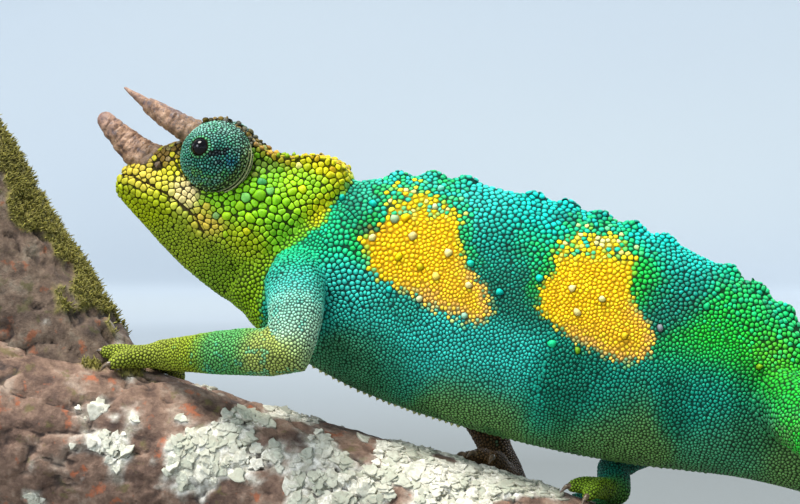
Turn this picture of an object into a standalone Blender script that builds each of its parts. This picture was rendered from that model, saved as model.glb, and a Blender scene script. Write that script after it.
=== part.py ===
# A male three-horned chameleon, life size, walking up a forked limb that a plain display stand holds.
# +Z is up, the animal faces -X and its left is towards -Y. The origin is the middle of the stand's underside.
# Lengths below are in millimetres. The meshes are made in metres.

import math

import bmesh
import bpy
from mathutils import Vector

MM = 0.001
GAP = 0.3  # between two solids that meet
RISE = Vector((-14.0, 0.0, 107.0))  # from the origin up to the animal's own zero, on its flank

# The trunk's ribs run from the neck to the tail's root. Each is the top point (x, z), the bottom point (x, z)
# and half the width.
RIBS = (
    (-15.1, 11.0, -26.1, -7.4, 6.0),
    (-9.8, 10.3, -23.0, -10.6, 7.2),
    (-5.8, 10.8, -18.5, -14.3, 8.2),
    (-1.2, 11.3, -13.3, -17.3, 9.2),
    (4.5, 11.5, -7.0, -20.6, 10.0),
    (10.9, 10.6, 0.3, -23.4, 10.6),
    (17.0, 9.2, 7.9, -25.8, 11.0),
    (22.7, 7.9, 15.5, -27.8, 11.2),
    (28.8, 6.1, 23.3, -29.6, 11.2),
    (34.8, 4.2, 31.1, -31.0, 10.8),
    (40.9, 1.8, 38.2, -32.0, 10.1),
    (47.0, -1.0, 44.7, -32.6, 9.2),
    (52.7, -4.3, 50.6, -33.3, 8.2),
    (57.6, -8.0, 55.6, -34.3, 7.2),
    (61.8, -12.1, 60.1, -35.4, 6.3),
    (66.1, -16.3, 64.4, -36.7, 5.6),
    (70.3, -20.7, 68.6, -38.2, 5.1),
    (74.5, -24.9, 73.2, -39.8, 4.7),
    (79.1, -28.7, 77.9, -41.5, 4.3),
    (84.1, -32.3, 83.0, -43.2, 3.9),
)
NECK_END = 2  # the ribs where the trunk is parted
CHEST_END = 6
BELLY_END = 10.5
HIP_END = 17
LAST_RIB = len(RIBS) - 1
WIDEST_LEVEL = -0.16  # of the half height: the flank is widest a little below the middle
BACK_SHARPNESS = 1.3  # above 1 the back rises to a keel
BELLY_SHARPNESS = 0.95

# The tail runs on from the last rib and winds down and under in a flat coil.
TAIL_LENGTH = 116.0
TAIL_STEP = 4.0
TAIL_FIRST_BEND = 1 / 200  # curvature at the root and at the tip, per millimetre
TAIL_LAST_BEND = 1 / 4.8
TAIL_BEND_GROWTH = 1.85
TAIL_TIP_RADIUS = 0.75
TAIL_TAPER = 0.86
TAIL_CUTS = (0.16, 0.36, 0.56, 0.78)  # shares of the length

# Blunt lobes of the back's crest.
LOBE_PITCH = 5.2
LOBE_SIZE = (2.2, 1.2, 1.45)  # half length, half width and half height
LOBE_PROUD = 1.0
LOBE_FIRST_RIB = 3.2
TAIL_LOBES = 12

# The head has its own frame: h runs back from the snout along the skull, u runs up.
SNOUT = Vector((-43.0, 0.0, 10.8))
HEAD_PITCH = math.radians(20.0)
# Stations: h, lowest u, highest u, then half widths at the throat, jaw, cheek, temple and roof.
HEAD_STATIONS = (
    (0.0, -1.3, 1.4, 0.9, 1.4, 1.5, 1.3, 0.8),
    (0.7, -2.2, 2.7, 1.5, 2.4, 2.5, 2.2, 1.3),
    (2.4, -3.3, 5.0, 1.9, 3.3, 3.4, 2.9, 1.9),
    (5.0, -4.7, 7.3, 2.2, 4.1, 4.3, 3.7, 2.6),
    (8.0, -6.3, 9.7, 2.4, 4.9, 5.1, 4.4, 3.7),
    (10.8, -7.8, 13.2, 2.5, 5.4, 5.9, 4.5, 4.5),
    (13.6, -9.0, 13.7, 2.6, 5.8, 6.5, 4.4, 4.4),
    (16.6, -10.1, 12.9, 2.7, 6.1, 7.0, 4.9, 3.9),
    (19.6, -11.1, 11.9, 2.8, 6.3, 7.3, 5.8, 3.3),
    (22.4, -11.7, 12.0, 2.9, 6.4, 7.4, 6.1, 3.2),
    (25.0, -10.6, 12.9, 3.1, 6.5, 7.2, 5.8, 3.4),
    (27.5, -6.6, 14.0, 3.4, 6.2, 6.6, 5.1, 3.6),
    (30.0, 0.4, 14.3, 3.0, 5.4, 5.6, 4.5, 3.4),
    (32.2, 6.2, 13.8, 2.3, 4.0, 4.2, 3.6, 2.7),
    (33.6, 9.6, 12.7, 1.1, 1.9, 2.1, 1.9, 1.3),
)
HEAD_LEVELS = (0.0, 0.1, 0.34, 0.55, 0.76, 0.93, 1.0)  # shares of the height where the widths are given
# The line of the mouth (h, u), from the snout to its corner, and on down the throat, where the jaw is parted.
MOUTH = ((-2.0, 1.0), (0.3, 1.05), (2.7, 1.5), (6.8, 1.1), (11.0, 0.45), (13.1, -0.2), (14.8, -1.3),
         (16.5, -2.8))
JAW_PARTING = ((19.5, -6.0), (23.5, -10.0), (26.0, -15.0))
LIP_RADIUS = 0.42
LIP_APART = 0.62  # from the mouth's line to the middle of each lip
NOSTRIL = (5.6, 4.3)
NOSTRIL_RADIUS = 0.55

# The turrets of the eyes. The look is a direction for the left eye.
EYE = (13.7, 8.6)  # h, u
EYE_SIDE = 4.1
TURRET_RADIUS = 5.45
TURRET_BULGE = 0.45  # the cone of the lids round the pupil
SEPTUM = 3.2  # half the bone between the two turrets
LOOK = Vector((-0.30, -0.90, 0.30)).normalized()
LID_RADIUS = 1.42
EYEBALL_RADIUS = 1.1

# Horns: (x, y, z) of the root inside the head and of the tip, the radii on the way, and the sag of the middle.
NOSE_HORN = ((-36.4, 0.0, 12.5), (-44.9, 0.0, 19.7),
             (3.0, 2.95, 2.8, 2.6, 2.4, 2.2, 2.02, 1.88, 1.74, 1.6, 1.35), 0.45)
LEFT_BROW_HORN = ((-28.3, -3.5, 16.4), (-41.3, -3.3, 24.6),
                  (2.1, 2.05, 1.95, 1.82, 1.66, 1.5, 1.34, 1.16, 0.66, 0.44, 0.16), 0.35)
RIGHT_BROW_HORN = ((-29.2, 3.5, 16.4), (-42.5, 3.3, 24.6), *LEFT_BROW_HORN[2:])
HORN_RINGS = 6
RING_DEPTH = 0.045  # share of the radius

# Tubercles on the head: (h, u) along the brow and casque, and (h, u, radius) on the cheek.
BROW_RIDGE = ((8.8, 12.1), (10.4, 13.3), (12.2, 13.8), (14.2, 13.9), (16.0, 13.4), (17.8, 12.7), (19.6, 12.0),
              (21.6, 11.8), (23.6, 12.2), (25.6, 13.1), (27.6, 13.9), (29.8, 14.2), (31.8, 13.7))
RIDGE_SIDE = (3.6, 3.4, 3.1, 3.0, 3.0, 3.1, 3.2, 3.1, 3.1, 3.2, 3.2, 3.0, 2.3)
RIDGE_RADIUS = 0.8
CHEEK_TUBERCLES = ((24.5, 3.5, 1.0), (25.1, 0.0, 1.15), (27.0, -0.1, 1.1), (28.2, 2.6, 0.95), (22.8, -4.2, 1.1),
                   (25.0, -3.5, 1.0), (20.8, -5.6, 0.95), (22.0, -1.0, 1.0))

# Limbs: points (x, y, z, radius) from inside the trunk over the elbow or knee, the fourth, to wrist or ankle.
ELBOW, WRIST = 3, 6
LEFT_FORELEG = ((-14.3, -3.0, -2.5, 4.6), (-14.3, -10.0, -4.8, 4.7), (-13.2, -16.2, -8.8, 4.2),
                (-13.4, -19.5, -14.3, 3.5),
                (-19.8, -16.2, -14.2, 3.7), (-25.5, -12.6, -14.6, 3.4), (-30.4, -9.8, -15.0, 2.9))
RIGHT_FORELEG = ((-14.0, 3.0, -3.0, 4.4), (-8.0, 9.5, -6.0, 4.3), (-1.0, 13.4, -11.0, 3.9),
                 (4.0, 14.8, -16.0, 3.6),
                 (8.6, 13.4, -22.0, 3.3), (11.9, 11.8, -27.5, 2.9), (13.6, 10.8, -31.2, 2.6))
LEFT_HINDLEG = ((56.5, -2.0, -20.5, 5.4), (60.5, -8.8, -23.6, 5.0), (66.0, -15.6, -27.6, 4.2),
                (70.6, -19.4, -32.6, 3.7),
                (74.6, -17.6, -37.8, 3.2), (77.6, -14.6, -42.2, 2.8), (79.8, -12.4, -45.8, 2.6))
RIGHT_HINDLEG = ((60.0, 2.0, -21.0, 5.4), (54.0, 9.4, -23.2, 4.9), (47.6, 13.8, -25.4, 4.1),
                 (42.0, 15.2, -27.8, 3.6),
                 (37.2, 12.6, -29.4, 3.1), (33.8, 9.4, -31.0, 2.7), (31.4, 6.6, -32.8, 2.5))

# The limb that the animal walks on, its knot and its fork.
PERCH_START = Vector((-68.0, -3.0, -25.1))
PERCH_END = Vector((88.0, -3.0, -64.5))
PERCH_RADII = (15.5, 10.8)
KNOT_X, KNOT_LENGTH, KNOT_RISE = 37.0, 6.0, 2.4
KNOT_ANGLE, KNOT_SPREAD = math.radians(-18.0), math.radians(38.0)
FORK_START = Vector((-44.0, 1.0, -34.0))
FORK_END = Vector((-72.5, 4.5, 16.0))
FORK_RADII = (14.0, 10.2)
BARK_WAVES = 0.022  # share of the radius

# Feet. The pad and each toe's tip are (x, degrees round the limb, 0 on top and negative on the left).
TOE_RADII = (2.1, 1.75, 1.45, 1.1)
KNUCKLE_LIFT = 2.0
CLAW_LENGTH = 2.2
CLAW_RADIUS = 0.5
CLAW_TIP_RADIUS = 0.16
PAD_LIFT = 2.85
BEND_EASE = 0.6  # how far to both sides, in rows, a tube's ring looks for its slant
PAD_RADIUS = 2.5
LEFT_HAND = ((-39.4, -10.0), ((-47.4, -13.0), (-45.4, -24.0)), ((-43.0, 14.0), (-40.6, 23.0), (-38.0, 30.0)))
RIGHT_HAND = ((13.4, 48.0), ((7.4, 66.0), (10.0, 76.0)), ((6.6, 28.0), (8.0, 19.0), (10.6, 14.0)))
LEFT_FOOT = ((81.6, -30.0), ((75.6, -54.0), (78.6, -66.0), (82.0, -72.0)), ((76.6, 8.0), (79.4, 18.0)))
RIGHT_FOOT = ((28.8, 20.0), ((22.6, 42.0), (25.2, 54.0), (28.4, 60.0)), ((23.2, -8.0), (25.8, -16.0)))

# The stand.
BASE_SIZE = (160.0, 78.0, 8.0)
BASE_CORNER = 12.0
BASE_BEVEL = 1.2
ROD_RADIUS = 3.0
ROD_SINK = 4.0  # how deep a rod stands in the base and in the perch
RODS = (("stand_rod_front", -34.0), ("stand_rod_rear", 52.0))

SKIN_GREEN = (0.10, 0.50, 0.12)
TEAL = (0.02, 0.42, 0.36)
OLIVE = (0.36, 0.45, 0.08)
HORN_BROWN = (0.33, 0.22, 0.15)
EYE_TEAL = (0.03, 0.25, 0.22)
PUPIL_BLACK = (0.01, 0.01, 0.012)
BARK_BROWN = (0.25, 0.18, 0.14)
OILED_WOOD = (0.13, 0.08, 0.05)
STEEL = (0.55, 0.56, 0.58)


# Meshes and materials

def material(name, colour, roughness, metallic=0.0):
    made = bpy.data.materials.get(name) or bpy.data.materials.new(name)
    made.use_nodes = True
    shader = made.node_tree.nodes["Principled BSDF"]
    shader.inputs["Base Color"].default_value = (*colour, 1.0)
    shader.inputs["Roughness"].default_value = roughness
    shader.inputs["Metallic"].default_value = metallic
    return made


def mesh_object(name, points, faces):
    # A closed mesh from points in millimetres, triangulated and facing out.
    mesh = bpy.data.meshes.new(name)
    form = bmesh.new()
    corners = [form.verts.new((Vector(p) + RISE) * MM) for p in points]
    for face in faces:
        form.faces.new([corners[i] for i in face])
    bmesh.ops.triangulate(form, faces=form.faces[:], quad_method="SHORT_EDGE")
    bmesh.ops.recalc_face_normals(form, faces=form.faces[:])
    form.to_mesh(mesh)
    form.free()
    made = bpy.data.objects.new(name, mesh)
    bpy.context.scene.collection.objects.link(made)
    return made


def loft(name, rings):
    # Joins rings of equal count. A ring of one point is a pole, and any other end is capped flat.
    points, faces, starts = [], [], []
    for ring in rings:
        starts.append(len(points))
        points.extend(ring)
    for low, high, a, b in zip(rings, rings[1:], starts, starts[1:]):
        count = max(len(low), len(high))
        for i in range(count):
            j = (i + 1) % count
            if len(low) == 1:
                faces.append((a, b + i, b + j))
            elif len(high) == 1:
                faces.append((a + i, a + j, b))
            else:
                faces.append((a + i, a + j, b + j, b + i))
    for ring, start in ((rings[0], starts[0]), (rings[-1], starts[-1])):
        if len(ring) > 1:
            faces.append(tuple(range(start, start + len(ring))))
    return mesh_object(name, points, faces)


def applied(node):
    # Replaces the object's mesh by what its modifiers make of it.
    graph = bpy.context.evaluated_depsgraph_get()
    made = bpy.data.meshes.new_from_object(node.evaluated_get(graph))
    node.modifiers.clear()
    node.data = made
    return node


def remove(*things):
    for thing in things:
        bpy.data.objects.remove(thing)


def fused(name, pieces):
    # One union of closed pieces.
    node = pieces[0]
    if len(pieces) > 1:
        group = bpy.data.collections.new(name + "_pieces")
        for piece in pieces[1:]:
            group.objects.link(piece)
        join = node.modifiers.new("join", "BOOLEAN")
        join.operation = "UNION"
        join.operand_type = "COLLECTION"
        join.collection = group
        join.solver = "EXACT"
        applied(node)
        remove(*pieces[1:])
        bpy.data.collections.remove(group)
    node.name = name
    return node


def trimmed(node, cutter, operation="DIFFERENCE", keep_cutter=False):
    # Cuts the node by another solid.
    cut = node.modifiers.new("cut", "BOOLEAN")
    cut.operation = operation
    cut.object = cutter
    cut.solver = "EXACT"
    applied(node)
    if not keep_cutter:
        remove(cutter)
    return node


def largest_body(node):
    # Keeps the closed surface that spans the most.
    form = bmesh.new()
    form.from_mesh(node.data)
    bmesh.ops.remove_doubles(form, verts=form.verts[:], dist=1e-7)
    left, bodies = set(form.verts), []
    while left:
        body, edge = set(), [next(iter(left))]
        while edge:
            corner = edge.pop()
            if corner in body:
                continue
            body.add(corner)
            edge.extend(link.other_vert(corner) for link in corner.link_edges)
        left -= body
        bodies.append(body)
    bodies.sort(key=len)
    for scrap in bodies[:-1]:
        bmesh.ops.delete(form, geom=list(scrap), context="VERTS")
    bmesh.ops.triangulate(form, faces=form.faces[:])
    form.to_mesh(node.data)
    form.free()
    return node


def finished(node, finish):
    largest_body(node)
    node.data.materials.clear()
    node.data.materials.append(finish)
    node.data.shade_smooth()
    node.data.set_sharp_from_angle(angle=math.radians(45))
    return node


# Curves through named points

def spline_at(rows, t):
    # Catmull-Rom through rows of numbers; whole values of t are the rows themselves.
    i = min(int(t), len(rows) - 2)
    f = t - i
    before, start = rows[max(i - 1, 0)], rows[i]
    end, after = rows[i + 1], rows[min(i + 2, len(rows) - 1)]
    return [b + 0.5 * f * (c - a + f * (2 * a - 5 * b + 4 * c - d + f * (3 * (b - c) + d - a)))
            for a, b, c, d in zip(before, start, end, after)]


def line_at(rows, t):
    # Straight from row to row.
    i = min(int(t), len(rows) - 2)
    return [a + (b - a) * (t - i) for a, b in zip(rows[i], rows[i + 1])]


def spread(first, last, count):
    return [first + (last - first) * i / (count - 1) for i in range(count)]


def tube(name, rows, sides, rings, round_start=False, round_end=True, first=0.0, last=None, grow=0.0):
    # A round tube through rows of (x, y, z, radius), with domes where the ends are round. A tube that stops
    # before the last row stops a gap short, and the next one starts there square to the same line.
    end = len(rows) - 1
    last = end if last is None else last

    def centre(t):
        return Vector(line_at(rows, max(0.0, min(end, t)))[:3])

    stops = spread(first, last, rings)
    centres = [centre(t) for t in stops]
    radii = [line_at(rows, t)[3] + grow for t in stops]
    ways = [(centre(t + BEND_EASE) - centre(t - BEND_EASE)).normalized() for t in stops]
    if last < end:
        centres[-1] -= ways[-1] * (GAP - grow)
    across = ways[0].orthogonal().normalized()
    made = []
    for middle, radius, way in zip(centres, radii, ways):
        across = (across - way * across.dot(way)).normalized()
        other = way.cross(across)
        made.append([middle + radius * (across * math.cos(a) + other * math.sin(a))
                     for a in (math.tau * k / sides for k in range(sides))])
    if round_start:
        made = dome(centres[0], -ways[0], made[0]) + made
    if round_end:
        made = made + dome(centres[-1], ways[-1], made[-1])[::-1]
    return loft(name, made)


def dome(centre, way, ring):
    # The pole and one ring that round off a tube's end, pole first.
    radius = (ring[0] - centre).length
    share = math.sqrt(0.5)
    middle = [centre + (p - centre) * share + way * radius * share for p in ring]
    return [[centre + way * radius], middle]


def blob(name, centre, sizes, turn=0.0, columns=8, rows=5):
    # An ellipsoid with half sizes along x, y and z, turned about Y by an angle.
    def at(v, a):
        x = sizes[0] * math.sin(v) * math.cos(a)
        y = sizes[1] * math.sin(v) * math.sin(a)
        z = sizes[2] * math.cos(v)
        c, s = math.cos(turn), math.sin(turn)
        return Vector(centre) + Vector((x * c + z * s, y, z * c - x * s))
    rings = [[at(0, 0)]]
    for row in range(1, rows):
        rings.append([at(math.pi * row / rows, math.tau * k / columns) for k in range(columns)])
    rings.append([at(math.pi, 0)])
    return loft(name, rings)


# Trunk and tail

def tail_ribs():
    # Ribs along a line whose bend grows towards the tip, in the form of the trunk's ribs.
    top, bottom = Vector((RIBS[-1][0], RIBS[-1][1])), Vector((RIBS[-1][2], RIBS[-1][3]))
    centre = (top + bottom) / 2
    before = Vector(((RIBS[-2][0] + RIBS[-2][2]) / 2, (RIBS[-2][1] + RIBS[-2][3]) / 2))
    heading = math.atan2(centre.y - before.y, centre.x - before.x)
    half_height, half_width = (top - bottom).length / 2, RIBS[-1][4]
    steps = 8
    ribs = []
    for i in range(1, round(TAIL_LENGTH / TAIL_STEP) + 1):
        for k in range(steps):
            share = (i - 1 + k / steps) * TAIL_STEP / TAIL_LENGTH
            bend = TAIL_FIRST_BEND + (TAIL_LAST_BEND - TAIL_FIRST_BEND) * share ** TAIL_BEND_GROWTH
            heading -= bend * TAIL_STEP / steps
            centre = centre + Vector((math.cos(heading), math.sin(heading))) * TAIL_STEP / steps
        left = (1 - i * TAIL_STEP / TAIL_LENGTH) ** TAIL_TAPER
        high = TAIL_TIP_RADIUS + (half_height - TAIL_TIP_RADIUS) * left
        wide = TAIL_TIP_RADIUS + (half_width - TAIL_TIP_RADIUS) * left
        up = Vector((-math.sin(heading), math.cos(heading))) * high
        ribs.append((centre.x + up.x, centre.y + up.y, centre.x - up.x, centre.y - up.y, wide))
    return ribs


ALL_RIBS = RIBS + tuple(tail_ribs())
LAST = len(ALL_RIBS) - 1


def rib_ring(t, sides, grow=0.0):
    # The trunk's outline at a rib: keeled above, rounder below.
    tx, tz, bx, bz, wide = spline_at(ALL_RIBS, t)
    top, bottom = Vector((tx, 0, tz)), Vector((bx, 0, bz))
    centre, up = (top + bottom) / 2, (top - bottom) / 2
    up += up.normalized() * grow
    keeled = max(0.0, min(1.0, (LAST_RIB - t) / 3))
    ring = []
    for k in range(sides):
        angle = math.tau * k / sides
        c, s = math.cos(angle), math.sin(angle)
        power = 1 + keeled * ((BACK_SHARPNESS if c > 0 else BELLY_SHARPNESS) - 1)
        level = c + keeled * WIDEST_LEVEL * s * s
        ring.append(centre + up * level + Vector((0, (wide + grow) * math.copysign(abs(s) ** power, s), 0)))
    return ring


def rib_centre(t):
    tx, tz, bx, bz, _ = spline_at(ALL_RIBS, t)
    return Vector(((tx + bx) / 2, 0, (tz + bz) / 2))


def top_point(t):
    tx, tz, _, _, _ = spline_at(ALL_RIBS, t)
    return Vector((tx, 0, tz))


def trunk_length(name, first, last, sides, step, grow=0.0):
    # One length of the trunk or tail. It ends a gap short of the next one, unless it ends at the tip.
    count = max(3, round((last - first) / step) + 1)
    if last < LAST:
        last -= GAP / (rib_centre(last) - rib_centre(last - 1)).length
    rings = [rib_ring(t, sides, grow) for t in spread(first, last, count)]
    if last >= LAST:
        tip, before = rib_centre(LAST), rib_centre(LAST - 1)
        rings.append([tip + (tip - before).normalized() * TAIL_TIP_RADIUS])
    return loft(name, rings)


def lobes(first, last):
    # Crest lobes whose middles lie between two ribs, LOBE_PITCH apart along the back, smaller down the tail.
    made, number, travelled, t, step = [], 0, 0.0, LOBE_FIRST_RIB, 0.02
    tail_number = 0
    while t < LAST and tail_number < TAIL_LOBES:
        if travelled >= number * (LOBE_PITCH if t < HIP_END else LOBE_PITCH * 0.8):
            ahead = top_point(t + 0.1) - top_point(t - 0.1)
            tilt = math.atan2(-ahead.z, ahead.x)
            size = 1.0
            if t >= HIP_END:
                tail_number += 1
                size = 0.85 - 0.5 * tail_number / TAIL_LOBES
            number += 1
            out = Vector((-ahead.z, 0, ahead.x)).normalized()
            centre = top_point(t) + out * (LOBE_PROUD - LOBE_SIZE[2]) * size
            inside = LOBE_SIZE[0] * size / (top_point(t + 0.5) - top_point(t - 0.5)).length
            if first + inside < t < last - inside:
                made.append(blob("lobe", centre, [s * size for s in LOBE_SIZE], tilt, 6, 4))
            if t >= HIP_END and travelled > 0:
                travelled, number = 0.0, 1
        travelled += (top_point(t + step) - top_point(t)).length
        t += step
    return made


# Head

def head_point(h, u, y=0.0):
    c, s = math.cos(HEAD_PITCH), math.sin(HEAD_PITCH)
    return SNOUT + Vector((h * c + u * s, y, u * c - h * s))


def head_half_width(station, share):
    # Half the head's width at a share of its height, smoothly through the given widths.
    widths = (0.0,) + tuple(station[3:]) + (0.0,)
    share = min(max(share, 0.0), 1.0)
    i = max(k for k in range(len(HEAD_LEVELS) - 1) if HEAD_LEVELS[k] <= share)
    f = (share - HEAD_LEVELS[i]) / (HEAD_LEVELS[i + 1] - HEAD_LEVELS[i])
    if i == 0:
        return widths[1] * math.sqrt(1 - (1 - f) ** 2)
    if i == len(HEAD_LEVELS) - 2:
        return widths[-2] * math.sqrt(1 - f * f)
    ease = f * f * (3 - 2 * f)
    return widths[i] + (widths[i + 1] - widths[i]) * ease


HEAD_SHARES = (0.0, 0.03, 0.1, 0.2, 0.32, 0.44, 0.55, 0.66, 0.76, 0.86, 0.93, 0.98, 1.0)


def head_solid(name, grow=0.0):
    # The whole head, from stations across the skull.
    rings = []
    for t in spread(0, len(HEAD_STATIONS) - 1, 23):
        station = spline_at(HEAD_STATIONS, t)
        low, high = station[1] - grow, station[2] + grow
        middle = (len(HEAD_STATIONS) - 1) / 2
        h = station[0] + grow * (t - middle) / middle
        side = [(low + (high - low) * share, head_half_width(station, share)) for share in HEAD_SHARES]
        left = [head_point(h, u, -(w + grow if w else 0.0)) for u, w in side]
        right = [head_point(h, u, w + grow) for u, w in side[1:-1]]
        rings.append(left + right[::-1])
    return loft(name, rings)


def head_side(h, u):
    # Half the head's width at a place on its side.
    t = next((i for i in range(len(HEAD_STATIONS) - 1) if HEAD_STATIONS[i + 1][0] >= h), len(HEAD_STATIONS) - 2)
    f = (h - HEAD_STATIONS[t][0]) / (HEAD_STATIONS[t + 1][0] - HEAD_STATIONS[t][0])
    station = spline_at(HEAD_STATIONS, t + f)
    return head_half_width(station, (u - station[1]) / (station[2] - station[1]))


def mouth_prism(name, shift):
    # All that lies below the line of the mouth, moved up or down by a shift.
    line = [(h, u + shift) for h, u in MOUTH + JAW_PARTING]
    outline = line + [(28.0, -40.0), (-12.0, -40.0), (-12.0, MOUTH[0][1] + shift)]
    near = [head_point(h, u, -20.0) for h, u in outline]
    far = [head_point(h, u, 20.0) for h, u in outline]
    return loft(name, [near, far])


def lips(shift, side):
    # A rounded lip along the mouth on one side.
    rows = []
    for h, u in MOUTH[1:]:
        if h > 0.9:
            p = head_point(h, u + shift, side * (head_side(h, u + shift) - LIP_RADIUS * 0.35))
            rows.append((p.x, p.y, p.z, LIP_RADIUS))
    return tube("lip", rows, 6, 9, True, True)


def turret_centre(side):
    return head_point(EYE[0], EYE[1], side * EYE_SIDE)


def look(side):
    return Vector((LOOK.x, -side * LOOK.y, LOOK.z))


def turned(name, side, profile, sides):
    # A turned solid about an eye's line of sight, from (radius, distance from the turret's centre).
    way = look(side)
    across = way.cross(Vector((0, 0, 1))).normalized()
    other = way.cross(across)
    rings = []
    for radius, out in profile:
        centre = turret_centre(side) + way * out
        count = 1 if radius == 0 else sides
        rings.append([centre + radius * (across * math.cos(a) + other * math.sin(a))
                      for a in (math.tau * k / sides for k in range(count))])
    return loft(name, rings)


def turret_profile(grow=0.0):
    rows = []
    for degrees in (22, 34, 48, 64, 80, 96, 114, 134, 156):
        angle = math.radians(degrees)
        radius = TURRET_RADIUS + grow + TURRET_BULGE * math.exp(-((degrees / 26) ** 2))
        rows.append((radius * math.sin(angle), radius * math.cos(angle)))
    return rows + [(0, -TURRET_RADIUS - grow)]


def box(name, low, high):
    x0, y0, z0 = low
    x1, y1, z1 = high
    return loft(name, [[(x0, y0, z0), (x1, y0, z0), (x1, y1, z0), (x0, y1, z0)],
                       [(x0, y0, z1), (x1, y0, z1), (x1, y1, z1), (x0, y1, z1)]])


LID_FRONT = TURRET_RADIUS + TURRET_BULGE + 0.05
EYEBALL_OUT = LID_FRONT - 0.65
SOCKET_FLOOR = EYEBALL_OUT - EYEBALL_RADIUS - GAP


def beside_septum(name, node, side, grow=0.0):
    # Cuts a turret's form flat where it meets the bone between the two eyes.
    centre = turret_centre(side)
    inner = sorted((side * (SEPTUM - grow), side * -12))
    bone = box(name, (centre.x - 12, inner[0], centre.z - 12), (centre.x + 12, inner[1], centre.z + 12))
    return trimmed(node, bone)


def eye_turret(name, side):
    # The scaly cone of one eye, with the lids' rim and the well of the eyeball.
    well = [(0, SOCKET_FLOOR), (LID_RADIUS * 0.98, SOCKET_FLOOR), (LID_RADIUS, LID_FRONT - 0.35),
            (LID_RADIUS + 0.18, LID_FRONT), (LID_RADIUS + 0.5, LID_FRONT - 0.2)]
    turret = turned(name, side, well + turret_profile()[1:], 16)
    return beside_septum("bone", turret, side)


def socket(side):
    # The room that a turret takes in the head, with the gap all round.
    room = turned("socket", side, [(0, LID_FRONT + 3)] + turret_profile(GAP), 16)
    return beside_septum("bone", room, side, GAP)


def head_forms(name, grow=0.0):
    # The head with its tubercles.
    forms = [head_solid(name, grow)]
    for side in (-1, 1):
        for (h, u), y in zip(BROW_RIDGE, RIDGE_SIDE):
            sizes = [s + grow for s in (0.95, RIDGE_RADIUS, RIDGE_RADIUS * 1.15)]
            forms.append(blob("ridge", head_point(h, u - 0.35, side * y), sizes, HEAD_PITCH, 6, 3))
        for h, u, radius in CHEEK_TUBERCLES:
            centre = head_point(h, u, side * (head_side(h, u) - radius * 0.2))
            sizes = [s + grow for s in (radius, radius * 0.62, radius)]
            forms.append(blob("tubercle", centre, sizes, HEAD_PITCH, 6, 3))
    return fused(name, forms)


def head_and_jaw():
    both_lips = [lips(shift, side) for shift in (-LIP_APART, LIP_APART) for side in (-1, 1)]
    skull = fused("skull", [head_forms("skull")] + both_lips)
    for side in (-1, 1):
        centre = head_point(*NOSTRIL, side * (head_side(*NOSTRIL) + 0.6))
        floor = head_point(NOSTRIL[0] + 0.5, NOSTRIL[1], side * (head_side(*NOSTRIL) - 1.3))
        rows = ((*centre, NOSTRIL_RADIUS), (*floor, NOSTRIL_RADIUS * 0.7))
        pit = tube("nostril", rows, 8, 2, False, False)
        trimmed(skull, pit)
    jaw = skull.copy()
    jaw.data = skull.data.copy()
    bpy.context.scene.collection.objects.link(jaw)
    trimmed(skull, mouth_prism("above", GAP / 2))
    trimmed(jaw, mouth_prism("below", -GAP / 2), "INTERSECT")
    for side in (-1, 1):
        trimmed(skull, socket(side))
    skull.name, jaw.name = "head", "lower_jaw"
    return skull, jaw


def horn(name, root, tip, radii, sag):
    # A ringed horn whose middle sags, with its root sunk in the head.
    root, tip = Vector(root), Vector(tip)
    way = (tip - root).normalized()
    down = Vector((-way.z, 0, way.x))
    count = 2 * HORN_RINGS + 1
    rows = []
    for i, share in enumerate(spread(0.0, 1.0, count)):
        centre = root.lerp(tip, share) + down * sag * 4 * share * (1 - share)
        radius = line_at([(r,) for r in radii], share * (len(radii) - 1))[0]
        radius *= 1 + RING_DEPTH * (1 if i % 2 else -1)
        rows.append((*centre, radius))
    return tube(name, rows, 8, count, False, True)


# Perch and stand

def perch_radius(x, angle):
    share = (x - PERCH_START.x) / (PERCH_END.x - PERCH_START.x)
    radius = PERCH_RADII[0] + (PERCH_RADII[1] - PERCH_RADII[0]) * share
    wave = BARK_WAVES * (math.sin(3 * angle + 0.11 * x) + 0.7 * math.sin(2 * angle - 0.07 * x + 1.0))
    knot = KNOT_RISE * math.exp(-((x - KNOT_X) / KNOT_LENGTH) ** 2 - ((angle - KNOT_ANGLE) / KNOT_SPREAD) ** 2)
    return radius * (1 + wave) + knot


def perch_point(x, degrees, lift):
    # A point over the bark: x along the row's axis, the angle from the top, and the height above the bark.
    share = (x - PERCH_START.x) / (PERCH_END.x - PERCH_START.x)
    axis = PERCH_START.lerp(PERCH_END, share)
    way = (PERCH_END - PERCH_START).normalized()
    up = Vector((-way.z, 0, way.x))
    angle = math.radians(degrees)
    out = up * math.cos(angle) + Vector((0, 1, 0)) * math.sin(angle)
    return axis + out * (perch_radius(x, angle) + lift)


def perch_limb(name, grow=0.0):
    # The limb that the animal walks on, cut square at both ends.
    sides = 16
    rings = []
    for x in spread(PERCH_START.x - grow, PERCH_END.x + grow, 19):
        rings.append([perch_point(x, 360.0 * (k / sides - (k > sides / 2)), grow) for k in range(sides)])
    return loft(name, rings)


def perch_fork(name, grow=0.0):
    # The limb that forks off beside the animal's head. Its root is buried in the other one.
    sides = 16
    length = (FORK_END - FORK_START).length
    way = (FORK_END - FORK_START).normalized()
    across = Vector((0, 1, 0))
    other = way.cross(across).normalized()
    rings = []
    for share in spread(0.0, 1.0 + grow / length, 10):
        radius = FORK_RADII[0] + (FORK_RADII[1] - FORK_RADII[0]) * min(1.0, 1.4 * share) + grow
        ring = []
        for k in range(sides):
            a = math.tau * k / sides
            bark = 1 + BARK_WAVES * (math.sin(3 * a + 7 * share) + 0.6 * math.sin(2 * a - 5 * share))
            out = across * math.cos(a) + other * math.sin(a)
            ring.append(FORK_START.lerp(FORK_END, share) + out * radius * bark)
        rings.append(ring)
    return loft(name, rings)


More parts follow.
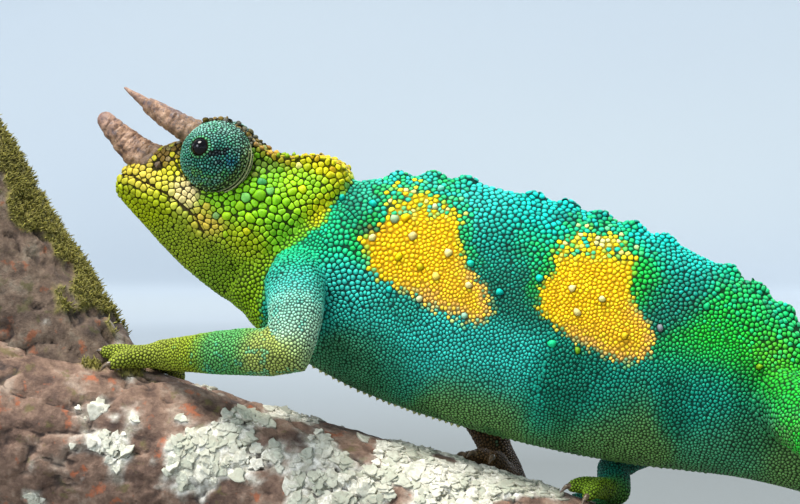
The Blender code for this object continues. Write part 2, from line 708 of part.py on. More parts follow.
def stand_base():
    # The stand's plate, with rounded corners and edges.
    underside = -RISE.z
    centre = -RISE
    length, width, height = BASE_SIZE
    outline = []
    for sx, sy, start in ((1, 1, 0), (-1, 1, 90), (-1, -1, 180), (1, -1, 270)):
        for degrees in (0, 22.5, 45, 67.5, 90):
            a = math.radians(start + degrees)
            outline.append((sx * (length / 2 - BASE_CORNER) + BASE_CORNER * math.cos(a),
                            sy * (width / 2 - BASE_CORNER) + BASE_CORNER * math.sin(a)))
    rings = []
    half = BASE_BEVEL / 2
    for level, inset in ((0, half), (half, 0), (height - BASE_BEVEL, 0), (height, BASE_BEVEL)):
        rings.append([(centre.x + x * (1 - 2 * inset / length), y * (1 - 2 * inset / width), underside + level)
                      for x, y in outline])
    return loft("stand_base", rings)


def rod(name, x, grow=0.0):
    # A rod from the base up into the perch.
    foot = -RISE.z + BASE_SIZE[2] - ROD_SINK - grow
    head = perch_point(x, 180.0, 0.0).z + ROD_SINK + grow
    radius = ROD_RADIUS + grow
    outline = []
    for k in range(16):
        a = math.tau * k / 16
        outline.append((x + radius * math.cos(a), PERCH_START.y + radius * math.sin(a)))
    return loft(name, [[(px, py, z) for px, py in outline] for z in (foot, head)])


# Limbs and feet

def foot(name, limb, plan):
    # A chameleon's tongs: two bundles of toes that hold the limb from both sides, with claws.
    _, outer, inner = plan
    pad = perch_point(*plan[0], PAD_LIFT)
    pieces = [tube(name, limb, 10, 4, False, True, WRIST)]
    for bundle in (outer, inner):
        middle = [sum(values) / len(bundle) for values in zip(*bundle)]
        for toe_tip in bundle:
            # The toes of a bundle are grown together for most of their length.
            stops = []
            for along, apart in ((0.45, 0.2), (0.8, 0.7)):
                stops.append([p + along * (m - p) + apart * (t - m)
                              for p, m, t in zip(plan[0], middle, toe_tip)])
            knuckle = perch_point(*stops[0], KNUCKLE_LIFT)
            last = perch_point(*stops[1], KNUCKLE_LIFT - 0.2)
            tip = perch_point(*toe_tip, TOE_RADII[-1] + 0.25)
            toe = [(*place, radius) for place, radius in zip((pad, knuckle, last, tip), TOE_RADII)]
            pieces.append(tube("toe", toe, 6, 4, False, True))
            pieces.append(claw(last, tip, stops[1], toe_tip))
    node = fused(name, pieces)
    trimmed(node, perch_fork("fork_room", GAP))
    return trimmed(node, perch_limb("limb_room", GAP))


def claw(last, tip, last_stop, toe_tip):
    # A hooked claw from the end of a toe down to the bark.
    way = (tip - last).normalized()
    reach = CLAW_LENGTH / (tip - last).length
    point = perch_point(*[t + reach * (t - s) for s, t in zip(last_stop, toe_tip)], 0.45)
    out = (tip - perch_point(*toe_tip, 0.0)).normalized()
    root = tip - way * 0.3 + out * 0.15
    bend = root.lerp(point, 0.55) + out * 0.4
    rows = ((*root, CLAW_RADIUS + 0.1), (*bend, CLAW_RADIUS * 0.8), (*point, CLAW_TIP_RADIUS))
    return tube("claw", rows, 5, 3, False, False)


# The whole model

def clear_scene():
    for thing in list(bpy.data.objects):
        bpy.data.objects.remove(thing)


def build():
    clear_scene()
    green = material("green_scales", SKIN_GREEN, 0.45)
    teal = material("teal_scales", TEAL, 0.45)
    olive = material("olive_scales", OLIVE, 0.5)
    horn_finish = material("horn", HORN_BROWN, 0.6)
    lid = material("eye_scales", EYE_TEAL, 0.45)
    pupil = material("eye", PUPIL_BLACK, 0.05)
    bark = material("bark", BARK_BROWN, 0.9)
    wood = material("oiled_wood", OILED_WOOD, 0.5)
    steel = material("steel", STEEL, 0.3, 1.0)

    # Trunk and tail, a length at a time.
    parts = (("torso_chest", NECK_END, CHEST_END), ("torso_belly", CHEST_END, BELLY_END),
             ("torso_hips", BELLY_END, HIP_END))
    for name, first, last in parts:
        finished(fused(name, [trunk_length(name, first, last, 24, 0.7)] + lobes(first, last)), teal)
    tail_marks = [HIP_END] + [LAST_RIB + share * (LAST - LAST_RIB) for share in TAIL_CUTS] + [LAST]
    for number, (first, last) in enumerate(zip(tail_marks, tail_marks[1:]), 1):
        name = f"tail_{number}"
        finished(fused(name, [trunk_length(name, first, last, 14, 1.0)] + lobes(first, last)), teal)

    # Head, jaw, eyes and horns.
    head, jaw = head_and_jaw()
    for side, label in ((-1, "left"), (1, "right")):
        finished(eye_turret("eye_turret_" + label, side), lid)
        centre = turret_centre(side) + look(side) * EYEBALL_OUT
        ball = blob("eyeball_" + label, centre, (EYEBALL_RADIUS,) * 3, 0.0, 10, 6)
        finished(ball, pupil)
    horns = [horn("horn_nose", *NOSE_HORN),
             horn("horn_brow_left", *LEFT_BROW_HORN),
             horn("horn_brow_right", *RIGHT_BROW_HORN)]
    for made in horns:
        trimmed(made, head_forms("head_room", GAP))
        for side in (-1, 1):
            trimmed(made, socket(side))
        finished(made, horn_finish)
    neck = trunk_length("neck", 0, NECK_END, 24, 0.4)
    trimmed(neck, head_forms("head_room", GAP))
    finished(neck, green)
    finished(head, green)
    finished(jaw, green)

    # Limbs.
    for name, limb, plan, tips in (
        ("foreleg_left", LEFT_FORELEG, LEFT_HAND, "hand_left"),
        ("foreleg_right", RIGHT_FORELEG, RIGHT_HAND, "hand_right"),
        ("hindleg_left", LEFT_HINDLEG, LEFT_FOOT, "foot_left"),
        ("hindleg_right", RIGHT_HINDLEG, RIGHT_FOOT, "foot_right"),
    ):
        limb += (tuple(perch_point(*plan[0], PAD_LIFT)) + (PAD_RADIUS,),)
        thigh = tube(name + "_upper", limb, 12, 7, False, False, 0, ELBOW)
        trimmed(thigh, trunk_length("trunk_room", 0, LAST_RIB, 24, 0.7, GAP))
        finished(thigh, teal)
        shin = tube(name + "_lower", limb, 12, 7, False, False, ELBOW, WRIST)
        trimmed(shin, tube("elbow_room", limb, 12, 7, False, False, 0, ELBOW, GAP))
        finished(shin, green)
        toes = foot(tips, limb, plan)
        trimmed(toes, tube("wrist_room", limb, 12, 7, False, False, ELBOW, WRIST, GAP))
        finished(toes, olive)

    # Perch and stand.
    limb = perch_limb("perch_limb")
    fork = perch_fork("perch_fork")
    trimmed(fork, perch_limb("limb_room", GAP))
    base = stand_base()
    for name, x in RODS:
        trimmed(limb, rod("hole", x, GAP))
        trimmed(base, rod("hole", x, GAP))
        finished(rod(name, x), steel)
    finished(limb, bark)
    finished(fork, bark)
    finished(base, wood)


build()
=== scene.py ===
# Looks of a male three-horned chameleon on its perch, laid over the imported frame.
# Lengths are in millimetres in the animal's own frame (it faces -X, its left is -Y) until a mesh is made.

import itertools
import math
import time

import bmesh
import bpy
import numpy as np
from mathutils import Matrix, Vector, kdtree
from mathutils.bvhtree import BVHTree


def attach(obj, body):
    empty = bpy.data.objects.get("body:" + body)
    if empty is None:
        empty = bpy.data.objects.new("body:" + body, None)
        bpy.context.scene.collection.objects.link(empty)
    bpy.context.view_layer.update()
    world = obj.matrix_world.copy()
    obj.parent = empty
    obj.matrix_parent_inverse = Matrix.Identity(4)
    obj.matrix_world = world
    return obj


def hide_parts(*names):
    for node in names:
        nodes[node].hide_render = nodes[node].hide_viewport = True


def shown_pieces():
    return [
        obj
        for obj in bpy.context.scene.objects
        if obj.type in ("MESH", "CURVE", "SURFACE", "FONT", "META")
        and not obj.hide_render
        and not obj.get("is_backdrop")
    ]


started = time.time()
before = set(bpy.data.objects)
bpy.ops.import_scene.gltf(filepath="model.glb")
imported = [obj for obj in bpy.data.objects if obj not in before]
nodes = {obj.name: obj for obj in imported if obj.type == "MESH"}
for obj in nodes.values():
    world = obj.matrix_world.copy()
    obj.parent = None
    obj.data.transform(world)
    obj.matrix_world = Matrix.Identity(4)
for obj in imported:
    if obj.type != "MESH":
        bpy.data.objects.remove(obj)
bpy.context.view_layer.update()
rng = np.random.default_rng(11)
rise = np.array((-14.0, 0.0, 107.0))  # from the stand's underside up to the animal's own zero


def report(stage):
    print(f"{stage}: {time.time() - started:.0f} s")


# Small tools for numbers

def unit(v):
    v = np.asarray(v, float)
    return v / np.maximum(np.linalg.norm(v, axis=-1, keepdims=True), 1e-9)


def smooth(x):
    x = np.clip(x, 0.0, 1.0)
    return x * x * (3 - 2 * x)


def blend(a, b, share):
    return a + (np.asarray(b) - a) * share


def light(colour):
    # a colour given as 0 to 255 becomes the linear light a shader takes
    c = np.clip(np.asarray(colour, float) / 255, 0, 1)
    return np.where(c <= 0.04045, c / 12.92, ((c + 0.055) / 1.055) ** 2.4)


def cloud(points, size, seed=0):
    # soft random field, -1 to 1, with blobs of about the given size
    q = np.asarray(points, float) / size + 13.7 * seed + 100
    base = np.floor(q).astype(np.int64)
    f = q - base
    f = f * f * (3 - 2 * f)
    total = np.zeros(len(q))
    for corner in itertools.product((0, 1), repeat=3):
        c = base + corner
        mixed = (c[:, 0] * 73856093) ^ (c[:, 1] * 19349663) ^ (c[:, 2] * 83492791)
        mixed = ((mixed & 0xFFFFFF) * 2654435761) & 0xFFFFFFFF
        mixed = (mixed ^ (mixed >> 15)) & 0xFFFF
        weight = np.prod(np.where(corner, f, 1 - f), axis=1)
        total += weight * (mixed / 32767.5 - 1)
    return total


def clouds(points, size, seed=0, layers=3):
    total = sum(cloud(points, size / 2 ** k, seed + k) / 2 ** k for k in range(layers))
    return total / sum(1 / 2 ** k for k in range(layers))


def through(rows, t):
    # Catmull-Rom through rows of numbers, for an array of t
    rows = np.asarray(rows, float)
    t = np.clip(np.asarray(t, float), 0, len(rows) - 1)
    i = np.minimum(t.astype(int), len(rows) - 2)
    f = (t - i)[:, None]
    a, b = rows[np.maximum(i - 1, 0)], rows[i]
    c, d = rows[i + 1], rows[np.minimum(i + 2, len(rows) - 1)]
    return b + 0.5 * f * (c - a + f * (2 * a - 5 * b + 4 * c - d + f * (3 * (b - c) + d - a)))


def inPolygon(a, b, corners):
    # distance inside a closed outline, less than nothing outside, for side-view places a, b
    corners = np.asarray(corners, float)
    nearest = np.full(len(a), 1e9)
    inside = np.zeros(len(a), bool)
    for (x0, y0), (x1, y1) in zip(corners, np.roll(corners, -1, 0)):
        ex, ey = x1 - x0, y1 - y0
        s = np.clip(((a - x0) * ex + (b - y0) * ey) / (ex * ex + ey * ey), 0, 1)
        nearest = np.minimum(nearest, np.hypot(a - x0 - s * ex, b - y0 - s * ey))
        if ey != 0:
            crosses = ((y0 > b) != (y1 > b)) & (a < x0 + (b - y0) / ey * ex)
            inside ^= crosses
    return np.where(inside, nearest, -nearest)


# Small tools for meshes

def linked(thing):
    bpy.context.scene.collection.objects.link(thing)
    return thing


def meshPiece(name, points, faceSets, finish, inMetres=False):
    # points in mm, faceSets a list of arrays of corner numbers, one array per corner count
    mesh = bpy.data.meshes.new(name)
    places = np.asarray(points, float)
    if not inMetres:
        places = (places + rise) * 0.001
    faceSets = [np.asarray(f, np.int32) for f in faceSets if len(f)]
    corners = np.concatenate([f.ravel() for f in faceSets])
    counts = np.concatenate([np.full(len(f), f.shape[1]) for f in faceSets])
    mesh.vertices.add(len(places))
    mesh.vertices.foreach_set("co", places.astype(np.float32).ravel())
    mesh.loops.add(len(corners))
    mesh.loops.foreach_set("vertex_index", corners)
    mesh.polygons.add(len(counts))
    mesh.polygons.foreach_set("loop_start", np.concatenate(([0], np.cumsum(counts)[:-1])).astype(np.int32))
    mesh.update(calc_edges=True)
    mesh.shade_smooth()
    mesh.materials.append(finish)
    return linked(bpy.data.objects.new(name, mesh))


def paint(piece, tint, **fields):
    # colour and single numbers for the shader, one for each point
    mesh = piece.data
    colours = np.ones((len(mesh.vertices), 4), np.float32)
    colours[:, :3] = tint
    mesh.attributes.new("tint", "FLOAT_COLOR", "POINT").data.foreach_set("color", colours.ravel())
    for name, values in fields.items():
        mesh.attributes.new(name, "FLOAT", "POINT").data.foreach_set("value", np.asarray(values, np.float32))


def unwrap(piece, patches):
    # the baking map, from one place for each point
    corner = np.empty(len(piece.data.loops), int)
    piece.data.loops.foreach_get("vertex_index", corner)
    layer = piece.data.uv_layers.new(name="OFBake")
    layer.data.foreach_set("uv", patches.reshape(-1, 2)[corner].astype(np.float32).ravel())


def mount(piece, slot, *replaced):
    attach(piece, "root")
    if replaced:
        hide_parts(*replaced)
    return piece


def tubePoints(centres, radii, sides):
    # rings of points round a line
    ways = unit(np.gradient(centres, axis=0))
    across = np.asarray(Vector(ways[0]).orthogonal(), float)
    turns = np.linspace(0, math.tau, sides, endpoint=False)
    rings = []
    for middle, way, radius in zip(centres, ways, radii):
        across = unit(across - way * across.dot(way))
        other = np.cross(way, across)
        rings.append(middle + np.outer(np.cos(turns), across) * radius
                     + np.outer(np.sin(turns), other) * radius)
    return np.array(rings)


def ringFaces(rows, sides):
    i = np.arange(rows - 1)[:, None] * sides
    k = np.arange(sides)[None, :]
    j = (k + 1) % sides
    return np.stack([i + k, i + j, i + sides + j, i + sides + k], -1).reshape(-1, 4)


def fanFaces(first, sides, tip):
    # triangles from a ring, whose points start at first, to one tip
    k = np.arange(sides)
    return np.stack([first + k, first + (k + 1) % sides, np.full(sides, tip)], -1)


def copies(faces, count, size):
    # the same faces for each of some forms, which have size points each
    return (faces[None] + np.arange(count)[:, None, None] * size).reshape(-1, faces.shape[1])


def halves(quads):
    return np.vstack([quads[:, (0, 1, 2)], quads[:, (0, 2, 3)]])


def closedTube(centres, radii, sides):
    # a tube with round ends, as points, quads and triangles
    centres, radii = np.asarray(centres, float), np.asarray(radii, float)
    first, last = unit(centres[0] - centres[1]), unit(centres[-1] - centres[-2])
    angles = np.radians((75, 50, 25))
    head = [centres[0] + first * radii[0] * math.sin(a) for a in angles]
    tail = [centres[-1] + last * radii[-1] * math.sin(a) for a in angles[::-1]]
    caps = [radii[0] * math.cos(a) for a in angles]
    ends = [radii[-1] * math.cos(a) for a in angles[::-1]]
    rings = tubePoints(np.vstack([head, centres, tail]), caps + list(radii) + ends, sides)
    count = len(rings)
    points = np.vstack([rings.reshape(-1, 3), centres[0] + first * radii[0], centres[-1] + last * radii[-1]])
    low = fanFaces(0, sides, count * sides)[:, (1, 0, 2)]
    high = fanFaces((count - 1) * sides, sides, count * sides + 1)
    return points, ringFaces(count, sides), np.vstack([low, high])


def meshNormals(points, tris):
    a, b, c = (points[tris[:, k]] for k in range(3))
    faceNormals = np.cross(b - a, c - a)
    total = np.zeros_like(points)
    for k in range(3):
        for axis in range(3):
            total[:, axis] += np.bincount(tris[:, k], faceNormals[:, axis], len(points))
    return unit(total)


# The animal's own lines, the same as the solids'

ribs = np.array((
    (-15.1, 11.0, -26.1, -7.4), (-9.8, 10.3, -23.0, -10.6), (-5.8, 10.8, -18.5, -14.3),
    (-1.2, 11.3, -13.3, -17.3), (4.5, 11.5, -7.0, -20.6), (10.9, 10.6, 0.3, -23.4), (17.0, 9.2, 7.9, -25.8),
    (22.7, 7.9, 15.5, -27.8), (28.8, 6.1, 23.3, -29.6), (34.8, 4.2, 31.1, -31.0), (40.9, 1.8, 38.2, -32.0),
    (47.0, -1.0, 44.7, -32.6), (52.7, -4.3, 50.6, -33.3), (57.6, -8.0, 55.6, -34.3),
    (61.8, -12.1, 60.1, -35.4), (66.1, -16.3, 64.4, -36.7), (70.3, -20.7, 68.6, -38.2),
    (74.5, -24.9, 73.2, -39.8), (79.1, -28.7, 77.9, -41.5), (84.1, -32.3, 83.0, -43.2)))
tail = {"length": 116.0, "step": 4.0, "firstBend": 1 / 200, "lastBend": 1 / 4.8, "growth": 1.85}
headFrame = {"snout": np.array((-43.0, 0.0, 10.8)), "pitch": math.radians(20)}
mouthLine = np.array(((-2.0, 1.0), (0.3, 1.05), (2.7, 1.5), (6.8, 1.1), (11.0, 0.45), (13.1, -0.2),
                      (14.8, -1.3), (16.5, -2.8)))
mouthEnd = 16.6
eye = {"h": 13.7, "u": 8.6, "side": 4.1, "radius": 5.45, "bulge": 0.45, "look": unit((-0.30, -0.90, 0.30)),
       "septum": 3.2}
nostril = (5.6, 4.3)  # along the skull and up it
limbs = {
    "foreleg_left": ((-14.3, -3.0, -2.5, 4.6), (-14.3, -10.0, -4.8, 4.7), (-13.2, -16.2, -8.8, 4.2),
                     (-13.4, -19.5, -14.3, 3.5), (-19.8, -16.2, -14.2, 3.7), (-25.5, -12.6, -14.6, 3.4),
                     (-30.4, -9.8, -15.0, 2.9)),
    "foreleg_right": ((-14.0, 3.0, -3.0, 4.4), (-8.0, 9.5, -6.0, 4.3), (-1.0, 13.4, -11.0, 3.9),
                      (4.0, 14.8, -16.0, 3.6), (8.6, 13.4, -22.0, 3.3), (11.9, 11.8, -27.5, 2.9),
                      (13.6, 10.8, -31.2, 2.6)),
    "hindleg_left": ((56.5, -2.0, -20.5, 5.4), (60.5, -8.8, -23.6, 5.0), (66.0, -15.6, -27.6, 4.2),
                     (70.6, -19.4, -32.6, 3.7), (74.6, -17.6, -37.8, 3.2), (77.6, -14.6, -42.2, 2.8),
                     (79.8, -12.4, -45.8, 2.6)),
    "hindleg_right": ((60.0, 2.0, -21.0, 5.4), (54.0, 9.4, -23.2, 4.9), (47.6, 13.8, -25.4, 4.1),
                      (42.0, 15.2, -27.8, 3.6), (37.2, 12.6, -29.4, 3.1), (33.8, 9.4, -31.0, 2.7),
                      (31.4, 6.6, -32.8, 2.5)),
}
# each foot: the pad, then the toe tips of both bundles, as (x, degrees round the perch)
feet = {
    "hand_left": ((-39.4, -10.0), ((-47.4, -13.0), (-45.4, -24.0)),
                  ((-43.0, 14.0), (-40.6, 23.0), (-38.0, 30.0))),
    "hand_right": ((13.4, 48.0), ((7.4, 66.0), (10.0, 76.0)), ((6.6, 28.0), (8.0, 19.0), (10.6, 14.0))),
    "foot_left": ((81.6, -30.0), ((75.6, -54.0), (78.6, -66.0), (82.0, -72.0)), ((76.6, 8.0), (79.4, 18.0))),
    "foot_right": ((28.8, 20.0), ((22.6, 42.0), (25.2, 54.0), (28.4, 60.0)), ((23.2, -8.0), (25.8, -16.0))),
}
footOfLimb = {"foreleg_left": "hand_left", "foreleg_right": "hand_right",
              "hindleg_left": "foot_left", "hindleg_right": "foot_right"}
perch = {"start": np.array((-68.0, -3.0, -25.1)), "end": np.array((88.0, -3.0, -64.5)), "radii": (15.5, 10.8),
         "knotX": 37.0, "knotLength": 6.0, "knotRise": 2.4, "knotAngle": math.radians(-18),
         "knotSpread": math.radians(38), "waves": 0.022}
fork = {"start": np.array((-44.0, 1.0, -34.0)), "end": np.array((-72.5, 4.5, 16.0)), "radii": (14.0, 10.2)}
# the place that the side view is taken from: 8 degrees forward of square, 2 degrees above
viewer = {"far": 650, "square": 0.990, "forward": 0.139, "above": 0.035}


def headPoint(h, u, y=0.0):
    c, s = math.cos(headFrame["pitch"]), math.sin(headFrame["pitch"])
    h, u, y = np.broadcast_arrays(np.asarray(h, float), u, y)
    return headFrame["snout"] + np.stack([h * c + u * s, y, u * c - h * s], -1)


def headPlace(points):
    # the way back: h along the skull and u up it
    c, s = math.cos(headFrame["pitch"]), math.sin(headFrame["pitch"])
    d = points - headFrame["snout"]
    return d[:, 0] * c - d[:, 2] * s, d[:, 0] * s + d[:, 2] * c


def nostrilGap(h, u):
    return np.hypot(h - nostril[0], u - nostril[1])


def sideView(points):
    # where a point of either side lies for someone at the animal's side
    x, y, z = points[:, 0], np.abs(points[:, 1]), points[:, 2]
    far, square, forward, above = (viewer[k] for k in ("far", "square", "forward", "above"))
    nearer = far / (far - square * y - forward * x)
    return (square * x - forward * y) * nearer, (z - above * y) * nearer


def heightShare(points):
    # 0 at the belly's line to 1 at the back's
    top = np.interp(points[:, 0], ribs[:, 0], ribs[:, 1])
    bottom = np.interp(points[:, 0], ribs[:, 2], ribs[:, 3])
    return (points[:, 2] - bottom) / np.maximum(top - bottom, 1)


def perchRadius(x, angle):
    share = (x - perch["start"][0]) / (perch["end"][0] - perch["start"][0])
    radius = blend(*perch["radii"], share)
    wave = perch["waves"] * (np.sin(3 * angle + 0.11 * x) + 0.7 * np.sin(2 * angle - 0.07 * x + 1.0))
    near = ((x - perch["knotX"]) / perch["knotLength"]) ** 2
    near = near + ((angle - perch["knotAngle"]) / perch["knotSpread"]) ** 2
    return radius * (1 + wave) + perch["knotRise"] * np.exp(-near)


def perchPoint(x, degrees, lift=0.0):
    x, degrees, lift = np.broadcast_arrays(np.asarray(x, float), degrees, lift)
    share = ((x - perch["start"][0]) / (perch["end"][0] - perch["start"][0]))[..., None]
    way = unit(perch["end"] - perch["start"])
    up = np.array((-way[2], 0, way[0]))
    angle = np.radians(degrees)
    out = np.cos(angle)[..., None] * up + np.sin(angle)[..., None] * np.array((0.0, 1.0, 0.0))
    return blend(perch["start"], perch["end"], share) + out * (perchRadius(x, angle) + lift)[..., None]


def tailLine():
    # centre points down the tail, from where the trunk's last rib leaves off
    mids = (ribs[:, :2] + ribs[:, 2:]) / 2
    centre = mids[-1].copy()
    heading = math.atan2(*(mids[-1] - mids[-2])[::-1])
    line = []
    for i in range(1, round(tail["length"] / tail["step"]) + 1):
        for k in range(8):
            share = (i - 1 + k / 8) * tail["step"] / tail["length"]
            bend = tail["firstBend"] + (tail["lastBend"] - tail["firstBend"]) * share ** tail["growth"]
            heading -= bend * tail["step"] / 8
            centre = centre + np.array((math.cos(heading), math.sin(heading))) * tail["step"] / 8
        line.append(centre)
    return np.array(line)


trunkMiddle = (ribs[:, :2] + ribs[:, 2:]) / 2
bodyLine = np.vstack([trunkMiddle, tailLine()])
bodyLine = np.stack([bodyLine[:, 0], 0 * bodyLine[:, 0], bodyLine[:, 1]], 1)
bodyLine = through(bodyLine, np.linspace(0, len(bodyLine) - 1, 400))
headLine = headPoint(np.linspace(-2, 36, 60), 2.0)
limbLines = {}
for limbName, limbRows in limbs.items():
    pad = perchPoint(*feet[footOfLimb[limbName]][0], 2.85)
    reach = pad + unit(pad - np.array(limbRows[-1][:3])) * 9
    limbLines[limbName] = through(np.vstack([np.array(limbRows)[:, :3], pad, reach]), np.linspace(0, 8, 160))


def alongAround(points, line, reference):
    # share of the way along a line, turns round it, and the line's way there
    nearest = np.empty(len(points), int)
    for start in range(0, len(points), 20000):
        block = points[start:start + 20000]
        nearest[start:start + 20000] = ((block[:, None] - line[None]) ** 2).sum(-1).argmin(1)
    ways = unit(np.gradient(line, axis=0))[nearest]
    side = unit(np.asarray(reference, float) - ways * (ways @ np.asarray(reference, float))[:, None])
    other = np.cross(ways, side)
    off = points - line[nearest]
    turns = np.arctan2((off * side).sum(1), (off * other).sum(1)) / math.tau
    return nearest / (len(line) - 1), turns, ways


# One skin over all the flesh

skinLook = {"voxel": 0.46, "swell": 0.24, "sink": 0.13, "smoothing": 16}
fleshNodes = ["head", "lower_jaw", "neck", "torso_chest", "torso_belly", "torso_hips",
              "tail_1", "tail_2", "tail_3", "tail_4", "tail_5"]
fleshNodes += [f"{limb}_{half}" for limb in limbs for half in ("upper", "lower")]


def nodeFlesh(name, swell):
    form = bmesh.new()
    form.from_mesh(nodes[name].data)
    bmesh.ops.remove_doubles(form, verts=form.verts[:], dist=1e-6)
    bmesh.ops.triangulate(form, faces=form.faces[:])
    form.normal_update()
    points = (np.array([v.co for v in form.verts]) * 1000 - rise
              + np.array([v.normal for v in form.verts]) * swell)
    tris = np.array([[v.index for v in f.verts] for f in form.faces])
    form.free()
    return points, tris


def footTubes(name, limbName):
    # palm and toes without the claws, and where each claw is rooted
    pad, *bundles = feet[name]
    limb = limbs[limbName]
    palm = perchPoint(*pad, 2.85)
    wrist = np.array(limb[-1][:3])
    tubes = [([wrist, wrist * 0.5 + palm * 0.5, palm], [limb[-1][3], 2.65, 2.45])]
    claws = []
    for bundle in bundles:
        middle = np.mean(bundle, axis=0)
        for tip in bundle:
            stops = [np.array(pad) + along * (middle - pad) + apart * (np.array(tip) - middle)
                     for along, apart in ((0.45, 0.2), (0.8, 0.7))]
            places = [palm, perchPoint(*stops[0], 2.0), perchPoint(*stops[1], 1.8), perchPoint(*tip, 1.38)]
            path = through(np.array(places), np.linspace(0, 3, 9))
            tubes.append((path, np.interp(np.linspace(0, 3, 9), range(4), (2.1, 1.75, 1.45, 1.12))))
            claws.append((stops[1], np.array(tip)))
    return tubes, claws


def gatherFlesh():
    points, tris, owners, count = [], [], [], 0
    names = fleshNodes + list(feet)
    for number, name in enumerate(names):
        if name in feet:
            limbName = next(k for k, v in footOfLimb.items() if v == name)
            parts = []
            for path, radii in footTubes(name, limbName)[0]:
                p, quads, caps = closedTube(path, np.asarray(radii) + skinLook["swell"], 12)
                parts.append((p, np.vstack([halves(quads), caps])))
        else:
            parts = [nodeFlesh(name, skinLook["swell"])]
        for p, t in parts:
            points.append(p)
            tris.append(t + count)
            owners.append(np.full(len(t), number))
            count += len(p)
    return names, np.vstack(points), np.vstack(tris), np.concatenate(owners)


def relaxed(points, edges, passes, steps=(0.5, -0.52)):
    # takes out facets without shrinking
    links = np.bincount(edges.ravel(), minlength=len(points))[:, None]
    for _ in range(passes):
        for step in steps:
            total = np.empty_like(points)
            for axis in range(3):
                total[:, axis] = (np.bincount(edges[:, 0], points[edges[:, 1], axis], len(points))
                                  + np.bincount(edges[:, 1], points[edges[:, 0], axis], len(points)))
            points = points + step * (total / links - points)
    return points


def mouthDistance(h, u):
    # distance to the mouth's line, less than nothing below it
    best = np.full(len(h), 1e9)
    for (h0, u0), (h1, u1) in itertools.pairwise(mouthLine):
        s = np.clip(((h - h0) * (h1 - h0) + (u - u0) * (u1 - u0)) / ((h1 - h0) ** 2 + (u1 - u0) ** 2), 0, 1)
        best = np.minimum(best, np.hypot(h - h0 - s * (h1 - h0), u - u0 - s * (u1 - u0)))
    line = np.interp(h, mouthLine[:, 0], mouthLine[:, 1])
    return np.where(u > line, best, -best)


def openMouth(points, centreAbove, inside=0.075):
    # draws what would cross the mouth's line back to its own side
    h, u = headPlace(points)
    gap = mouthDistance(h, u)
    short = np.clip(inside - np.where(centreAbove, gap, -gap), 0, 0.9) * ((h > -1.5) & (h < mouthEnd - 0.3))
    c, s = math.cos(headFrame["pitch"]), math.sin(headFrame["pitch"])
    return points + np.where(centreAbove, short, -short)[:, None] * np.array((s, 0.0, c))


def makeSkin():
    names, points, tris, owners = gatherFlesh()
    mesh = bpy.data.meshes.new("flesh")
    mesh.from_pydata(points.tolist(), [], tris.tolist())
    rough = linked(bpy.data.objects.new("flesh", mesh))
    remesh = rough.modifiers.new("remesh", "REMESH")
    remesh.mode = "VOXEL"
    remesh.voxel_size = skinLook["voxel"]
    done = bpy.data.meshes.new_from_object(rough.evaluated_get(bpy.context.evaluated_depsgraph_get()))
    bpy.data.objects.remove(rough)
    p = np.empty(len(done.vertices) * 3)
    done.vertices.foreach_get("co", p)
    p = p.reshape(-1, 3)
    edges = np.empty(len(done.edges) * 2, int)
    done.edges.foreach_get("vertices", edges)
    edges = edges.reshape(-1, 2)
    quads = np.empty(len(done.loops), int)
    done.loops.foreach_get("vertex_index", quads)
    quads = quads.reshape(-1, 4)
    bpy.data.meshes.remove(done)
    p = relaxed(p, edges, skinLook["smoothing"])
    p = relaxed(p, edges, 2, (0.5,))
    triangles = halves(quads)
    n = meshNormals(p, triangles)
    tree = BVHTree.FromPolygons(points.tolist(), tris.tolist())
    owner = np.array([owners[tree.find_nearest(q)[2]] for q in p.tolist()])
    p = p - n * (skinLook["swell"] + skinLook["sink"])
    # the mouth's groove, the nostrils, and folds in the throat and neck
    h, u = headPlace(p)
    # numbers in fleshNodes: the head and the jaw, then the neck and the chest
    onHead = np.isin(owner, (0, 1))
    gap = mouthDistance(h, u)
    p -= n * (0.40 * np.exp(-(gap / 0.22) ** 2) * (onHead & (h < mouthEnd)))[:, None]
    p -= n * (np.exp(-nostrilGap(h, u) ** 2 / 0.36) * onHead)[:, None]
    a, b = sideView(p)
    throat = smooth((-3.2 - u) / 3) * smooth((h - 8) / 6) * onHead
    p -= n * (0.16 * throat * (0.5 + 0.5 * np.sin(0.9 * u * math.tau / 2.4 + 0.5 * h)))[:, None]
    fold = np.exp(-((a + 20.6 - 0.55 * (b + 4)) / 1.3) ** 2) * smooth((b + 14) / 6) * smooth((5 - b) / 5)
    p -= n * (0.35 * fold * (np.isin(owner, (0, 1, 2, 3))))[:, None]
    return names, p, meshNormals(p, triangles), quads, triangles, owner


names, skinPoints, skinNormals, skinQuads, skinTris, skinOwner = makeSkin()
report(f"skin shaped, {len(skinPoints)} points")
partNumber = {name: number for number, name in enumerate(names)}
headParts = [partNumber[k] for k in ("head", "lower_jaw")]
neckPart = partNumber["neck"]
trunkParts = [partNumber[k] for k in ("torso_chest", "torso_belly", "torso_hips")]
tailParts = [partNumber[f"tail_{k}"] for k in range(1, 6)]
limbParts = {limb: [partNumber[limb + "_upper"], partNumber[limb + "_lower"], partNumber[footOfLimb[limb]]]
             for limb in limbs}

# Markings: named colours, and where they lie in the side view

